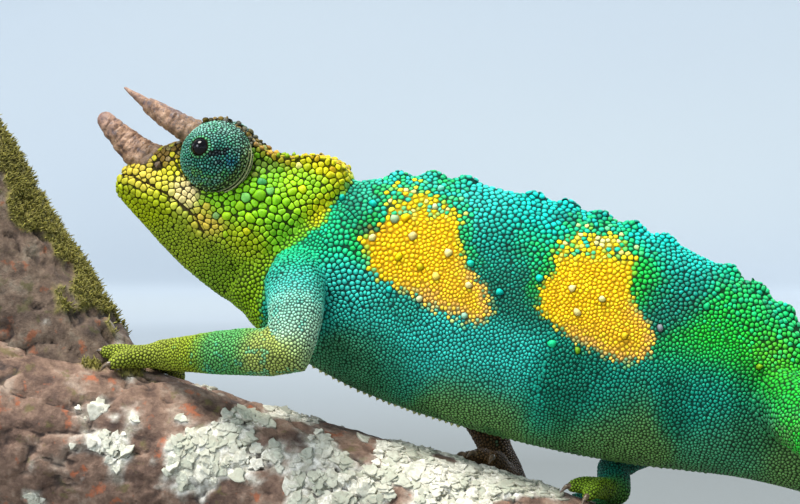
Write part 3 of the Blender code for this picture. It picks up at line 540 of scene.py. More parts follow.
colours = {
    "ochre": (178, 158, 50), "butter": (238, 212, 98), "sand": (230, 206, 148), "apricot": (236, 184, 80),
    "moss": (152, 166, 10), "olive": (138, 156, 34), "darkOlive": (108, 138, 30), "leaf": (112, 178, 30),
    "grass": (120, 184, 20), "lime": (146, 190, 16), "lemon": (204, 194, 4), "bark": (118, 106, 56),
    "emerald": (16, 186, 116), "jade": (46, 170, 132), "aqua": (48, 192, 176), "turquoise": (0, 196, 180),
    "cyan": (0, 198, 180), "seaGreen": (44, 184, 168), "deepTeal": (8, 142, 120), "shade": (14, 106, 84),
    "meadow": (22, 182, 38), "bellyGreen": (70, 144, 98), "bellyOlive": (96, 140, 74), "amber": (252, 190, 0),
    "gold": (250, 188, 28), "peach": (226, 170, 94), "cream": (236, 226, 160), "mint": (96, 186, 168),
    "sage": (164, 206, 172), "tan": (154, 170, 84), "fern": (84, 158, 84), "khaki": (136, 148, 48),
    "teal": (58, 158, 140), "brown": (112, 84, 40), "dusk": (150, 140, 150), "umber": (84, 62, 34),
    "slate": (70, 74, 66), "rust": (142, 92, 34), "bluish": (104, 172, 124), "straw": (186, 184, 18),
    "darkTeal": (0, 78, 64), "sun": (255, 214, 40), "paleMint": (206, 214, 160), "ink": (40, 52, 44),
    "copper": (190, 112, 30), "chestnut": (150, 96, 24), "hole": (26, 18, 12), "drab": (96, 92, 50),
    "turretBack": (46, 114, 98), "turretFront": (84, 140, 114), "turretTop": (124, 176, 158),
    "turretBlue": (18, 92, 136), "turretStreak": (14, 26, 30), "turretLow": (124, 166, 58),
    "turretSpeck": (52, 146, 98), "turretRim": (150, 164, 86), "turretPale": (130, 176, 164),
    "lid": (104, 176, 90),
}
colours = {name: np.array(tone) for name, tone in colours.items()}
# name of the place: (a, b, reach, colour)
headTones = {
    "noseTop": (-38.2, 12.4, 2.2, "ochre"), "lore": (-34.0, 13.6, 2.0, "straw"),
    "upperLip": (-37.5, 10.8, 2.0, "butter"), "lipMiddle": (-32.3, 8.6, 2.0, "sand"),
    "lipCorner": (-28.8, 4.4, 1.8, "apricot"), "chin": (-37.5, 7.6, 3.0, "moss"),
    "throat": (-31.5, 2.2, 3.6, "olive"), "gular": (-25.5, -4.4, 4.0, "darkOlive"),
    "underEye": (-26.6, 7.4, 2.2, "grass"), "cheek": (-21.0, 7.6, 3.2, "grass"),
    "temple": (-20.5, 12.0, 2.2, "leaf"), "cheekRear": (-15.0, 8.4, 3.0, "lime"),
    "casque": (-10.8, 13.2, 2.6, "straw"), "casqueFront": (-17.0, 14.4, 2.0, "moss"),
    "nape": (-13.0, 10.4, 1.8, "leaf"), "neckSide": (-11.6, 5.6, 1.9, "lemon"),
    "neck": (-16.8, 2.6, 3.0, "leaf"), "neckLow": (-22.0, -5.4, 3.4, "lime"),
    "jawRear": (-23.0, 1.6, 2.6, "moss"), "snoutTip": (-39.5, 11.6, 1.4, "ochre"),
}
trunkTones = {
    "shoulder": (-9.0, 3.0, 3.6, "emerald"), "shoulderTop": (-5.6, 9.0, 3.0, "jade"),
    "backFront": (0.5, 11.2, 3.4, "aqua"), "back": (11.0, 7.8, 4.0, "aqua"),
    "backMiddle": (24.0, 6.2, 4.6, "turquoise"), "backRear": (42.0, 0.4, 5.0, "cyan"),
    "rump": (56.0, -7.0, 5.0, "emerald"), "between": (13.6, 0.4, 3.4, "deepTeal"),
    "betweenLow": (17.4, -6.0, 3.8, "shade"), "behind": (41.6, -5.8, 3.4, "shade"),
    "hipGreen": (52.0, -12.6, 5.6, "meadow"), "hipYellow": (55.5, -14.5, 2.6, "leaf"),
    "hipLow": (47.0, -21.4, 4.6, "deepTeal"), "flankFront": (1.0, -12.4, 5.0, "seaGreen"),
    "flankMiddle": (13.0, -15.4, 4.8, "seaGreen"), "flankRear": (27.0, -20.6, 5.2, "deepTeal"),
    "armpit": (-8.0, -5.4, 4.0, "seaGreen"), "bellyFront": (-6.0, -17.6, 4.0, "bellyGreen"),
    "bellyMiddle": (10.5, -25.0, 5.0, "bellyOlive"), "bellyRear": (30.0, -29.0, 5.4, "bellyOlive"),
    "groin": (50.0, -29.0, 4.6, "bellyGreen"), "thighFold": (58.0, -31.0, 3.2, "bellyOlive"),
    "crestFront": (8.0, 11.5, 2.0, "emerald"), "greenGap": (20.0, 0.4, 2.4, "emerald"),
    "greenHalo": (37.6, -3.6, 2.4, "meadow"),
}
limbTones = {  # share of the limb's length: colour
    # the far-side limbs lie under the belly: their umber, dark teal and olive tones are painted shade
    "foreleg_right": ((0.0, "seaGreen"), (0.3, "bellyGreen"), (0.45, "umber"), (0.62, "umber"),
                      (1.0, "umber")),
    "hindleg_right": ((0.0, "deepTeal"), (0.4, "deepTeal"), (0.55, "shade"), (0.84, "shade"),
                      (0.92, "darkOlive"), (1.0, "darkOlive")),
    "foreleg": ((0.0, "mint"), (0.20, "mint"), (0.32, "sage"), (0.39, "tan"), (0.46, "tan"), (0.52, "fern"),
                (0.62, "fern"), (0.72, "olive"), (0.84, "khaki"), (1.0, "khaki")),
    "hindleg": ((0.0, "meadow"), (0.2, "meadow"), (0.34, "jade"), (0.44, "tan"), (0.56, "fern"),
                (0.72, "fern"), (0.82, "khaki"), (1.0, "khaki")),
}
collar = np.array(((-20.9, -12.0), (-20.7, -5.7), (-19.5, -2.4), (-17.4, 0.0), (-14.0, 2.3), (-11.0, 4.5),
                   (-8.8, 8.4), (-7.0, 11.1), (-5.5, 16.0)))  # where the head's greens meet the teal
frontPatch = ((0.5, 9.7), (7.0, 7.6), (8.7, 5.4), (8.9, 1.4), (9.9, -1.7), (12.9, -4.7), (13.7, -8.3),
              (12.3, -10.8), (7.4, -9.2), (1.2, -6.3), (-4.4, -2.6), (-5.6, 2.0), (-2.6, 4.1), (-1.2, 7.8))
rearPatch = ((26.9, 3.5), (32.7, 2.9), (35.4, -1.4), (34.1, -5.3), (36.8, -9.2), (38.8, -12.6), (37.2, -15.4),
             (32.4, -16.6), (26.1, -13.2), (21.4, -9.0), (21.0, -5.1), (23.2, -2.0), (22.6, 0.6))
# single scales that stand out: (a, b, radius, colour)
largeScales = (
    (-20.7, 10.4, 0.80, "teal"), (-21.1, 8.6, 1.08, "grass"), (-18.6, 7.8, 0.92, "grass"),
    (-17.1, 7.4, 0.88, "grass"), (-23.1, 7.9, 0.78, "bluish"), (-24.0, 6.4, 0.90, "lime"),
    (-25.8, 5.2, 0.78, "lime"), (-22.2, 4.9, 0.90, "lime"), (-20.6, 5.9, 0.76, "grass"),
    (-19.4, 9.2, 0.72, "bluish"), (-16.2, 8.9, 0.76, "lime"), (-14.4, 9.1, 0.70, "lemon"),
    (-28.8, 6.9, 0.66, "apricot"), (-26.6, 8.5, 0.74, "lime"), (-24.9, 9.4, 0.70, "leaf"),
    (-15.1, 12.6, 0.55, "cream"), (-23.0, 3.2, 0.62, "lemon"), (-26.0, 2.4, 0.60, "lime"),
    (-27.6, 5.3, 0.58, "bluish"), (-22.0, 11.4, 0.60, "bark"), (-17.8, 12.0, 0.62, "leaf"),
    (-12.2, 11.9, 0.72, "lemon"), (-10.2, 11.7, 0.70, "lemon"), (-13.9, 12.6, 0.74, "moss"),
    (7.2, -0.2, 0.92, "cream"), (10.4, -4.8, 1.00, "cream"), (5.4, -3.6, 0.86, "butter"),
    (2.0, 2.3, 0.92, "cream"), (-4.1, 2.1, 0.80, "cream"), (-0.9, 5.1, 0.92, "sage"),
    (9.6, -9.6, 0.80, "sage"), (25.8, -5.3, 0.76, "cream"), (30.3, -6.9, 0.76, "cream"),
    (26.6, -8.9, 0.92, "cream"), (39.0, -11.3, 0.80, "dusk"), (2.9, -2.3, 0.86, "lemon"),
    (-0.2, -0.6, 0.80, "lemon"), (0.8, 5.0, 0.86, "amber"), (10.8, -1.8, 0.84, "cyan"),
    (14.9, -6.0, 0.88, "cyan"), (20.9, -3.9, 0.84, "cyan"), (5.3, 6.8, 0.72, "cream"),
    (2.9, -7.1, 0.72, "cream"), (-1.6, -5.7, 0.66, "cyan"), (22.7, -13.7, 0.70, "emerald"),
    (26.7, -14.7, 0.72, "lime"), (-4.0, 7.1, 0.78, "turquoise"), (6.2, 9.3, 0.70, "mint"),
    (33.6, -12.4, 0.74, "gold"), (-8.6, 8.0, 0.66, "turquoise"), (46.0, -8.0, 0.72, "emerald"),
    (54.0, -17.0, 0.80, "lime"),
)


def tinted(tone, name, share):
    # part of the way to a named colour
    return blend(tone, colours[name], share[:, None])


def tonedBy(a, b, tones):
    total, weights = np.zeros((len(a), 3)), np.zeros((len(a), 1))
    for x, y, reachOut, colour in tones.values():
        near = ((a - x) ** 2 + (b - y) ** 2) / reachOut ** 2
        weight = (np.exp(-near) + 1e-3 / (1 + near * near))[:, None]  # the small part keeps far places toned
        total += weight * colours[colour]
        weights += weight
    return total / weights


def markings(points, owner, grain):
    # colour 0 to 255 at each place; grain is one random number for each scale, -1 to 1
    a, b = sideView(points)
    wobble = clouds(points, 5.0, 1)
    a2, b2 = a + 1.1 * wobble, b + 1.1 * clouds(points, 5.0, 5)
    head, trunk = tonedBy(a2, b2, headTones), tonedBy(a2, b2, trunkTones)
    # the back and the belly stay so where the side view no longer tells them apart
    level = heightShare(points)
    trunk = blend(trunk, colours["bellyOlive"] * 0.9, smooth((0.10 - level) / 0.16)[:, None] * 0.85)
    high = smooth((level - 0.45) / 0.4)
    trunk = tinted(trunk, "turquoise", np.abs(grain) ** 3 * high * 0.5)
    dark = smooth((clouds(points, 4.2, 71) + 0.25 * grain - 0.12) / 0.4) * (0.25 + 0.5 * high)
    trunk = tinted(trunk, "darkTeal", dark * 0.62)
    bars = smooth((cloud(points * (1.0, 1.0, 0.35), 5.5, 72)
                   + 0.3 * clouds(points, 2.4, 73)) / 0.5) * (1 - high)
    trunk = blend(trunk, trunk * (0.66, 0.80, 0.74), bars[:, None] * 0.75)
    for outline, lift, spread in ((frontPatch, 3.6, 1.3), (rearPatch, -2.4, 1.0)):
        centreA, centreB = np.mean(outline, axis=0)
        upper = smooth((b - lift) / 3.4)
        depth = inPolygon(a, b, outline) + 0.9 * clouds(points, 3.4, 9) + (0.7 + 0.9 * upper) * grain * spread
        lower = smooth((centreB + 0.5 - b + 0.35 * (a - centreA)) / 7)
        patch = tinted(colours["amber"], "gold", lower * 0.8)
        patch = tinted(patch, "peach", lower * smooth(1 - depth / 3.2) * 0.85)
        patch = tinted(patch, "sun", smooth(grain - 0.35) * 0.7)
        mottle = clouds(points, 1.3, 14) * 1.4 + 0.7 * grain
        patch = tinted(patch, "lemon", upper * smooth(0.6 + mottle) * 0.75)
        patch = tinted(patch, "paleMint", upper * smooth((mottle - 0.35) / 0.4) * 0.8)
        patch = blend(patch, trunk, (upper * smooth((-0.15 - mottle) / 0.35))[:, None] * 0.9)
        halo = smooth(1 - np.abs(depth + 0.9) / 2.0) * smooth((b - (centreB - 3)) / 4)
        trunk = tinted(trunk, "meadow", halo * 0.45)
        trunk = blend(trunk, patch, smooth(depth / 1.3 + 0.5)[:, None])
    trunk = tinted(trunk, "ink", np.exp(-(((a + 4.8) / 2.2) ** 2 + ((b - 3.4) / 0.7) ** 2)) * 0.8)
    edge = np.interp(b, collar[:, 1], collar[:, 0])
    onShoulder = smooth((a - edge + 0.9 * wobble + 0.5 * grain) / 1.4 + 0.5)[:, None]
    isHead = np.isin(owner, headParts)
    isFront = isHead | np.isin(owner, (neckPart, trunkParts[0]))
    result = np.where(isFront[:, None], blend(head, trunk, onShoulder), trunk)
    # brown scales round the horns and over the brow
    h, u = headPlace(points)
    horny = np.exp(-(np.maximum(0, np.hypot(h - 5.2, u - 6.9) - 1.9) / 1.1) ** 2) * smooth((u - 3.4) / 1.2)
    horny += np.exp(-(np.maximum(0, np.hypot(h - 8.2, u - 10.4) - 2.2) / 1.4) ** 2)
    horny = np.clip(horny + smooth((u - 11.0) / 1.2) * smooth((21.5 - h) / 4), 0, 1)
    brown = blend(colours["brown"], colours["dusk"] * 0.8, smooth(grain)[:, None])
    brown = tinted(brown, "lemon", smooth((grain - 0.5) / 0.3) * smooth((9 - u) / 2) * 0.7)
    result = blend(result, brown, (horny * isHead)[:, None] * 0.88)
    crest = smooth(u - np.interp(h, (17, 22, 33), (11.2, 10.6, 12.2))) * smooth((h - 18) / 3) * isHead
    ridge = tinted(colours["copper"], "lemon", smooth((h - 20) / 4))
    ridge = tinted(ridge, "chestnut", smooth((grain - 0.1) / 0.5) * 0.7)
    result = blend(result, ridge, crest[:, None] * 0.7)
    # the nostril, painted near black as painted shade in its pit, and the band from the eye back over the
    # temple
    result = tinted(result, "hole", np.exp(-(nostrilGap(h, u) ** 2 / 0.42) ** 2) * isHead)
    result = tinted(result, "drab",
                    np.exp(-((a + 20.0) / 4.0) ** 2 - ((b - 13.0) / 1.1) ** 2) * isHead * 0.55)
    # tail and limbs
    along, _, _ = alongAround(points, bodyLine, (0, 1, 0))
    tailTone = tinted(colours["emerald"], "deepTeal", smooth(0.5 + 0.9 * np.sin(along * 62) + 0.5 * wobble))
    tailTone = tinted(tailTone, "olive", smooth((along - 0.72) / 0.25) * 0.6)
    onTail = np.isin(owner, tailParts) * smooth((along - 0.45) / 0.07)
    result = np.where(np.isin(owner, tailParts)[:, None], blend(trunk, tailTone, onTail[:, None]), result)
    for limb, parts in limbParts.items():
        here = np.isin(owner, parts)
        if here.any():
            share, _, _ = alongAround(points[here], limbLines[limb], (0, 0, 1))
            share = share + 0.03 * wobble[here]
            stops = limbTones.get(limb, limbTones[limb.split("_")[0]])
            table = np.array([colours[name] for _, name in stops])
            tone = np.stack([np.interp(share, [at for at, _ in stops], table[:, k]) for k in range(3)], 1)
            spots = smooth((clouds(points[here], 1.8, 21) - 0.25 + 0.3 * grain[here]) / 0.25)
            tone = tinted(tone, "teal", spots * 0.5 * smooth((0.85 - share) / 0.2))
            result[here] = blend(trunk[here], tone,
                                 smooth((share - 0.10 + 0.04 * grain[here]) / 0.16)[:, None])
    return result


# Scale seeds

def sampled(points, normals, tris, sizeOfTri, perScale):
    # candidates, denser where the scales are smaller
    a, b, c = (points[tris[:, k]] for k in range(3))
    area = np.linalg.norm(np.cross(b - a, c - a), axis=1) / 2
    share = area / (0.866 * sizeOfTri ** 2)
    count = int(share.sum() * perScale)
    pick = np.searchsorted(np.cumsum(share) / share.sum(), rng.random(count))
    pick = np.minimum(pick, len(tris) - 1)
    r1, r2 = np.sqrt(rng.random(count))[:, None], rng.random(count)[:, None]
    w = np.hstack([1 - r1, r1 * (1 - r2), r1 * r2])
    place = sum(w[:, k:k + 1] * points[tris[pick, k]] for k in range(3))
    normal = unit(sum(w[:, k:k + 1] * normals[tris[pick, k]] for k in range(3)))
    return place, normal, pick


def treeOf(points):
    tree = kdtree.KDTree(len(points))
    for i, p in enumerate(points.tolist()):
        tree.insert(p, i)
    tree.balance()
    return tree


# pitch along and around in mm, how loosely the rows are followed, and whether their scales keep their place
rowLook = {"trunk": (0.67, 0.42, 0.06, True), "tail": (0.62, 0.60, 0.25, False),
           "limb": (0.50, 0.47, 0.25, False)}


def rowOrder(place, owner, size):
    # the order in which places are tried, those near a crossing of the fine rows of the flank, the tail and
    # the limbs first, and the places that keep to their row
    priority = np.random.default_rng(5).random(len(place))
    held = np.zeros(len(place), bool)

    def rows(chosen, line, reference, alongPitch, aroundPitch, stir, holds):
        share, turns, ways = alongAround(place[chosen], line, reference)
        length = np.linalg.norm(np.diff(line, axis=0), axis=1).sum()
        nearest = line[np.round(share * (len(line) - 1)).astype(int)]
        off = place[chosen] - nearest
        rest = np.linalg.norm(off - ways * (off * ways).sum(1)[:, None], axis=1)
        along = (share * length + (off * ways).sum(1)) / alongPitch + 0.25 * clouds(place[chosen], 7.0, 61)
        row = np.round(along)
        around = turns * math.tau * rest / aroundPitch + 0.5 * (row % 2)
        off = np.hypot(along - row, around - np.round(around))
        priority[chosen] = 0.6 * off + stir * priority[chosen]
        held[chosen] = holds & (off < 0.3)

    low = heightShare(place) < 0.52 + 0.1 * cloud(place, 5.0, 62)
    rows(np.isin(owner, trunkParts) & low, bodyLine, (0, 1, 0), *rowLook["trunk"])
    rows(np.isin(owner, tailParts), bodyLine, (0, 1, 0), *rowLook["tail"])
    for limb, parts in limbParts.items():
        rows(np.isin(owner, parts[:2]) & (size < 0.56), limbLines[limb], (0, 0, 1), *rowLook["limb"])
    return np.argsort(priority, kind="stable"), held


evenPasses = 2  # how often the seeds are moved to the middle of their own places


def placeSeeds(place, normal, size, fixed, order=None, held=None):
    # a seed for each scale: the fixed ones, a dictionary of index and size, then a random even cover
    tree = treeOf(place)
    order = np.random.default_rng(5).permutation(len(place)) if order is None else order
    order = list(fixed) + order.tolist()
    grown = size.copy()
    grown[list(fixed)] = list(fixed.values())
    alive = bytearray(b"\x01") * len(place)
    listed, reaches = place.tolist(), (0.80 * (0.5 * grown + 0.5 * size)).tolist()
    seeds = []
    for i in order:
        if alive[i]:
            seeds.append(i)
            for _, j, _ in tree.find_range(listed[i], reaches[i]):
                alive[j] = 0
    fixedCount = sum(i in fixed for i in seeds[:len(fixed)])
    seeds = np.array(seeds)
    p, s = place[seeds], grown[seeds]
    for _ in range(evenPasses):
        owner = treeOf(p)
        nearest = np.fromiter((owner.find(q)[1] for q in listed), int, len(listed))
        crowd = np.maximum(np.bincount(nearest, minlength=len(p)), 1)[:, None]
        middle = np.stack([np.bincount(nearest, place[:, k], len(p)) for k in range(3)], 1) / crowd
        middle[:fixedCount] = p[:fixedCount]
        if held is not None:
            middle[held[seeds]] = p[held[seeds]]
        snap = np.fromiter((tree.find(q)[1] for q in middle.tolist()), int, len(p))
        n = normal[snap]
        p = middle - n * ((middle - place[snap]) * n).sum(1)[:, None]
    return p, n, s, fixedCount, seeds


def fillBare(place, normal, size, p, n):
    # more seeds where a sharp edge has left one of its faces bare
    tree = treeOf(p)
    found = [tree.find(q) for q in place.tolist()]
    nearest, far = (np.array([f[k] for f in found]) for k in (1, 2))
    bare = np.flatnonzero(((normal * n[nearest]).sum(1) < 0.4) | (far > 0.95 * size))
    added = []
    for i in bare.tolist():
        rivals = [j for _, j, _ in tree.find_range(place[i].tolist(), 0.72 * float(size[i]))]
        if rivals and (n[rivals] @ normal[i]).max() > 0.4:
            continue
        if added and (np.linalg.norm(place[added] - place[i], axis=1) < 0.8 * size[i]).any():
            continue
        added.append(i)
    return np.array(added, int)


sizes = {"any": 0.66, "head": 0.86, "cheekMore": 0.22, "throat": 0.56, "casque": 0.92, "neck": 0.58,
         "flank": 0.55, "back": 0.80, "shoulder": 0.78, "belly": 0.50, "limbTop": 0.70, "limb": 0.50,
         "foot": 0.47, "vary": 0.10}


def scaleSizes(points, owner):
    # centre to centre, by place
    a, b = sideView(points)
    h, u = headPlace(points)
    headSize = sizes["head"] + sizes["cheekMore"] * np.exp(-((a + 21) / 5) ** 2 - ((b - 7.5) / 3.6) ** 2)
    headSize = blend(headSize, sizes["throat"], smooth((-1.5 - u) / 3))
    headSize = blend(headSize, sizes["casque"], smooth((u - 9.5) / 2) * smooth((h - 17) / 3))
    size = np.where(np.isin(owner, headParts), headSize, sizes["any"])
    size = np.where(owner == neckPart, sizes["neck"], size)
    level = heightShare(points)
    trunkSize = blend(sizes["flank"], sizes["back"], smooth((level - 0.62) / 0.3))
    nearShoulder = np.exp(-((points[:, 0] + 7) / 9) ** 2) * smooth((level - 0.25) / 0.4)
    trunkSize = blend(trunkSize, sizes["shoulder"], nearShoulder)
    trunkSize = blend(trunkSize, sizes["belly"], smooth((0.40 - level) / 0.3))
    size = np.where(np.isin(owner, trunkParts), trunkSize, size)
    for limb, parts in limbParts.items():
        share = alongAround(points, limbLines[limb], (0, 0, 1))[0]
        limbSize = blend(sizes["limbTop"], sizes["limb"], smooth((share - 0.06) / 0.22))
        size = np.where(np.isin(owner, parts[:2]), limbSize, size)
        size = np.where(owner == parts[2], sizes["foot"], size)
    return size * (1 + sizes["vary"] * cloud(points, 6.0, 3))


triOwner = skinOwner[skinTris[:, 0]]
triMiddle = skinPoints[skinTris].mean(1)
place, normal, pick = sampled(skinPoints, skinNormals, skinTris, scaleSizes(triMiddle, triOwner), 9)
placeOwner = triOwner[pick]
placeSize = scaleSizes(place, placeOwner)
report(f"{len(place)} candidate places")

# seeds that have their own place: lips, ridge, cheek, belly edge and the pale scales of the flank
fixed = {}  # index of the place: (size, tone, rise)
placeA, placeB = sideView(place)
placeH, placeU = headPlace(place)
usable = nostrilGap(placeH, placeU) > 1.0
place, normal, placeOwner, placeSize, placeA, placeB, placeH, placeU = (
    values[usable] for values in (place, normal, placeOwner, placeSize, placeA, placeB, placeH, placeU))
placeTree = treeOf(place)
leftOuter = np.flatnonzero((place[:, 1] < -0.5) & (normal[:, 1] < -0.1)
                           & np.isin(placeOwner, headParts + [neckPart] + trunkParts))
leftHead = np.flatnonzero((place[:, 1] < 0.0) & (normal[:, 1] < 0.2) & np.isin(placeOwner, headParts))


def fix(index, size, tone=None, rise=1.0):
    # on both sides of the animal
    mirrored = place[index] * (1, -1, 1)
    for i in (index, placeTree.find(mirrored.tolist())[1]):
        fixed.setdefault(int(i), (size, tone, rise))


for a0, b0, radius, tone in largeScales:
    nearest = leftOuter[((placeA[leftOuter] - a0) ** 2 + (placeB[leftOuter] - b0) ** 2).argmin()]
    fix(nearest, 1.85 * radius, tone, 1.2)
lipRows = ((0.78, 1.08, 0.0), (-0.80, 1.16, 0.0), (-1.92, 1.02, 0.5))  # above the mouth, size, shift along it
for above, size, shift in lipRows:
    for h0 in np.arange(0.6, 16.2, 1.08) + shift:
        u0 = np.interp(h0, mouthLine[:, 0], mouthLine[:, 1]) + above
        lean = 0.35 * above * smooth((h0 - 11) / 4)
        gaps = (placeH[leftHead] - h0 - lean) ** 2 + (placeU[leftHead] - u0) ** 2
        fix(leftHead[gaps.argmin()], size)
browRidge = ((8.6, 12.0), (9.7, 12.9), (10.8, 13.5), (11.9, 13.8), (13.0, 13.95), (14.1, 13.9), (15.2, 13.7),
             (16.3, 13.3), (17.4, 12.85), (18.5, 12.4), (19.7, 12.0), (21.0, 11.8), (22.3, 11.9),
             (23.6, 12.2), (24.9, 12.75), (26.2, 13.3), (27.5, 13.8), (28.9, 14.1), (30.3, 14.1),
             (31.8, 13.7))
browTones = ((17.9, "slate"), (20.2, "rust"), (21.8, "apricot"), (24.0, "leaf"), (99.0, None))  # up to where
for h0, u0 in browRidge:
    y0 = np.interp(h0, (8.6, 13.0, 19.0, 30.0, 31.8), (3.6, 3.0, 3.2, 3.2, 2.3))
    tone = next(tone for end, tone in browTones if h0 < end)
    nearest = placeTree.find(headPoint(h0, u0, -y0).tolist())[1]
    fix(nearest, 0.86 if h0 < 20 else 0.96, tone, 1.75 if h0 < 24 else 1.2)
for x0 in np.arange(-14.0, 46.0, 0.95):
    z0 = np.interp(x0, ribs[:, 2], ribs[:, 3])
    fixed[placeTree.find((x0, 0.0, z0))[1]] = (0.62, *(("cream", 2.6) if x0 < 9 else ("bellyOlive", 1.6)))

seedPlace, seedNormal, seedSize, fixedCount, seedIndex = placeSeeds(
    place, normal, placeSize, {i: size for i, (size, _, _) in fixed.items()},
    *rowOrder(place, placeOwner, placeSize))
kept = (nostrilGap(*headPlace(seedPlace)) > 0.85) | (np.arange(len(seedPlace)) < fixedCount)
seedPlace, seedNormal, seedSize, seedIndex = (
    values[kept] for values in (seedPlace, seedNormal, seedSize, seedIndex))
added = fillBare(place, normal, placeSize, seedPlace, seedNormal)
seedPlace, seedNormal = np.vstack([seedPlace, place[added]]), np.vstack([seedNormal, normal[added]])
seedSize, seedIndex = np.concatenate([seedSize, placeSize[added]]), np.concatenate([seedIndex, added])
report(f"{len(added)} seeds beside sharp edges")
seedOwner = placeOwner[seedIndex]
report(f"{len(seedPlace)} scale seeds")


# Scales as solid domes over the skin

def scaleCells(p, n, s, lean, directions, gap, roundness):
    # how far each scale reaches in each direction before it meets its neighbours
    tree = treeOf(p)
    near = np.array([[j for _, j, _ in tree.find_n(q, 12)][1:] for q in p.tolist()])
    across = unit(lean - n * (lean * n).sum(1)[:, None])
    other = np.cross(n, across)
    off = p[near] - p[:, None]
    x, y = (off * across[:, None]).sum(-1), (off * other[:, None]).sum(-1)
    far = np.maximum(np.hypot(x, y), 1e-4)
    facing = (n[near] * n[:, None]).sum(-1) > 0.1
    share = s[:, None] / (s[:, None] + s[near])
    turns = np.linspace(0, math.tau, directions, endpoint=False)
    reaches = np.empty((len(p), directions))
    for k, turn in enumerate(turns):
        cosine = (x * math.cos(turn) + y * math.sin(turn)) / far
        reach = np.where((cosine > 0.15) & facing, far * share / np.maximum(cosine, 0.15), 9.0)
        reaches[:, k] = np.minimum(reach.min(1), 0.70 * s)
    mean = reaches.mean(1, keepdims=True)
    reaches = np.minimum(reaches, mean * (1.36 - 0.28 * roundness))
    return across, other, turns, np.maximum(reaches - gap, 0.35 * reaches)


uvReach = 0.0015  # of one scale on the baking map


def buildScales(name, p, n, s, tint, rise, lean, uv, finish, slot, look):
    # rings: (share of the reach, height as a share of the size, rim value)
    across, other, turns, reaches = scaleCells(p, n, s, lean, look["directions"], look["gap"],
                                               look["roundness"])
    rings, count, sides = look["rings"], len(p), look["directions"]
    blocks, rims, patches = [], [], []
    height = (s * look["height"] * rise)[:, None, None]
    slant = rng.normal(0, 0.10, (count, 2))
    cosines, sines = np.cos(turns), np.sin(turns)
    for share, lift, rim in rings:
        flat = (across[:, None] * (reaches * share * cosines)[..., None]
                + other[:, None] * (reaches * share * sines)[..., None])
        tilt = (slant[:, :1] * cosines + slant[:, 1:] * sines) * reaches * share * max(lift, 0)
        up = (lift * height if lift > 0 else lift * s[:, None, None]) + tilt[..., None]
        blocks.append(p[:, None] + flat + n[:, None] * up)
        rims.append(np.full((count, sides), rim))
        patches.append(uv[:, None] + uvReach * share * np.stack([cosines, sines], -1)[None])
    peak = 1 + 0.5 * np.clip(rise - 1.3, 0, 1)[:, None]  # steep scales end in a point
    blocks.append((p + n * height[:, 0] * peak)[:, None])
    rims.append(np.zeros((count, 1)))
    patches.append(uv[:, None])
    points = np.concatenate(blocks, 1)
    perScale = points.shape[1]
    faces = [copies(ringFaces(len(rings), sides), count, perScale),
             copies(fanFaces(perScale - 1 - sides, sides, perScale - 1), count, perScale)]
    points = points.reshape(-1, 3)
    if "mouth" in look:
        points = openMouth(points, np.repeat(mouthDistance(*headPlace(p)) > 0, perScale))
    made = meshPiece(name, points, faces, finish)
    paint(made, np.repeat(tint, perScale, axis=0), rim=np.concatenate(rims, 1).ravel(),
          chance=np.repeat(rng.random(count), perScale))
    unwrap(made, np.concatenate(patches, 1))
    return mount(made, slot)


def pieceMap(along, turns):
    # place on an unwrap of the piece's own skin, from 0.02 to 0.98 both ways
    along = (along - along.min()) / max(np.ptp(along), 1e-6)
    return np.stack([0.02 + 0.96 * along, 0.02 + 0.96 * (turns + 0.5)], 1)


# Finishes

class Finish:
    # a material and its nodes; what feeds a socket is another socket, a number or a colour
    def __init__(self, name):
        self.material = bpy.data.materials.new(name)
        self.material.use_nodes = True
        self.tree = self.material.node_tree
        self.where = self.node("ShaderNodeTexCoord").outputs["Object"]

    def feed(self, made, values):
        for key, value in values.items():
            if isinstance(value, bpy.types.NodeSocket):
                self.tree.links.new(value, made.inputs[key])
            else:
                made.inputs[key].default_value = (*value, 1.0) if np.ndim(value) else value

    def node(self, kind, values={}, **settings):
        made = self.tree.nodes.new(kind)
        for key, value in settings.items():
            setattr(made, key, value)
        self.feed(made, values)
        return made

    def field(self, name):
        found = self.node("ShaderNodeAttribute", attribute_name=name)
        return found.outputs["Color" if name == "tint" else "Fac"]

    def stretched(self, *scale):
        made = self.node("ShaderNodeMapping", {"Vector": self.where})
        made.inputs["Scale"].default_value = scale
        return made.outputs[0]

    def noise(self, scale, detail, roughness, vector=None):
        return self.node("ShaderNodeTexNoise", {"Scale": scale, "Detail": detail, "Roughness": roughness,
                                                "Vector": vector or self.where}).outputs["Fac"]

    def span(self, value, low, high, toLow, toHigh):
        return self.node("ShaderNodeMapRange", {"Value": value, "From Min": low, "From Max": high,
                                                "To Min": toLow, "To Max": toHigh}).outputs["Result"]

    def mix(self, factor, first, second, kind="MIX"):
        return self.node("ShaderNodeMix", {0: factor, 6: first, 7: second}, data_type="RGBA",
                         blend_type=kind).outputs[2]

    def maths(self, kind, first, second):
        return self.node("ShaderNodeMath", {0: first, 1: second}, operation=kind).outputs[0]

    def ramp(self, value, *stops):
        made = self.node("ShaderNodeValToRGB", {"Fac": value})
        while len(made.color_ramp.elements) < len(stops):
            made.color_ramp.elements.new(0.5)
        for element, (at, colour) in zip(made.color_ramp.elements, stops):
            element.position = at
            element.color = (*light(colour), 1.0)
        return made.outputs["Color"]

    def bump(self, height, strength, distance):
        return self.node("ShaderNodeBump", {"Height": height, "Strength": strength,
                                            "Distance": distance}).outputs["Normal"]

    def shaded(self, colour, roughness, normal=None, **others):
        values = {"Base Color": colour, "Roughness": roughness}
        if normal:
            values["Normal"] = normal
        values.update((key.replace("_", " "), value) for key, value in others.items())
        self.feed(self.tree.nodes["Principled BSDF"], values)
        return self.material


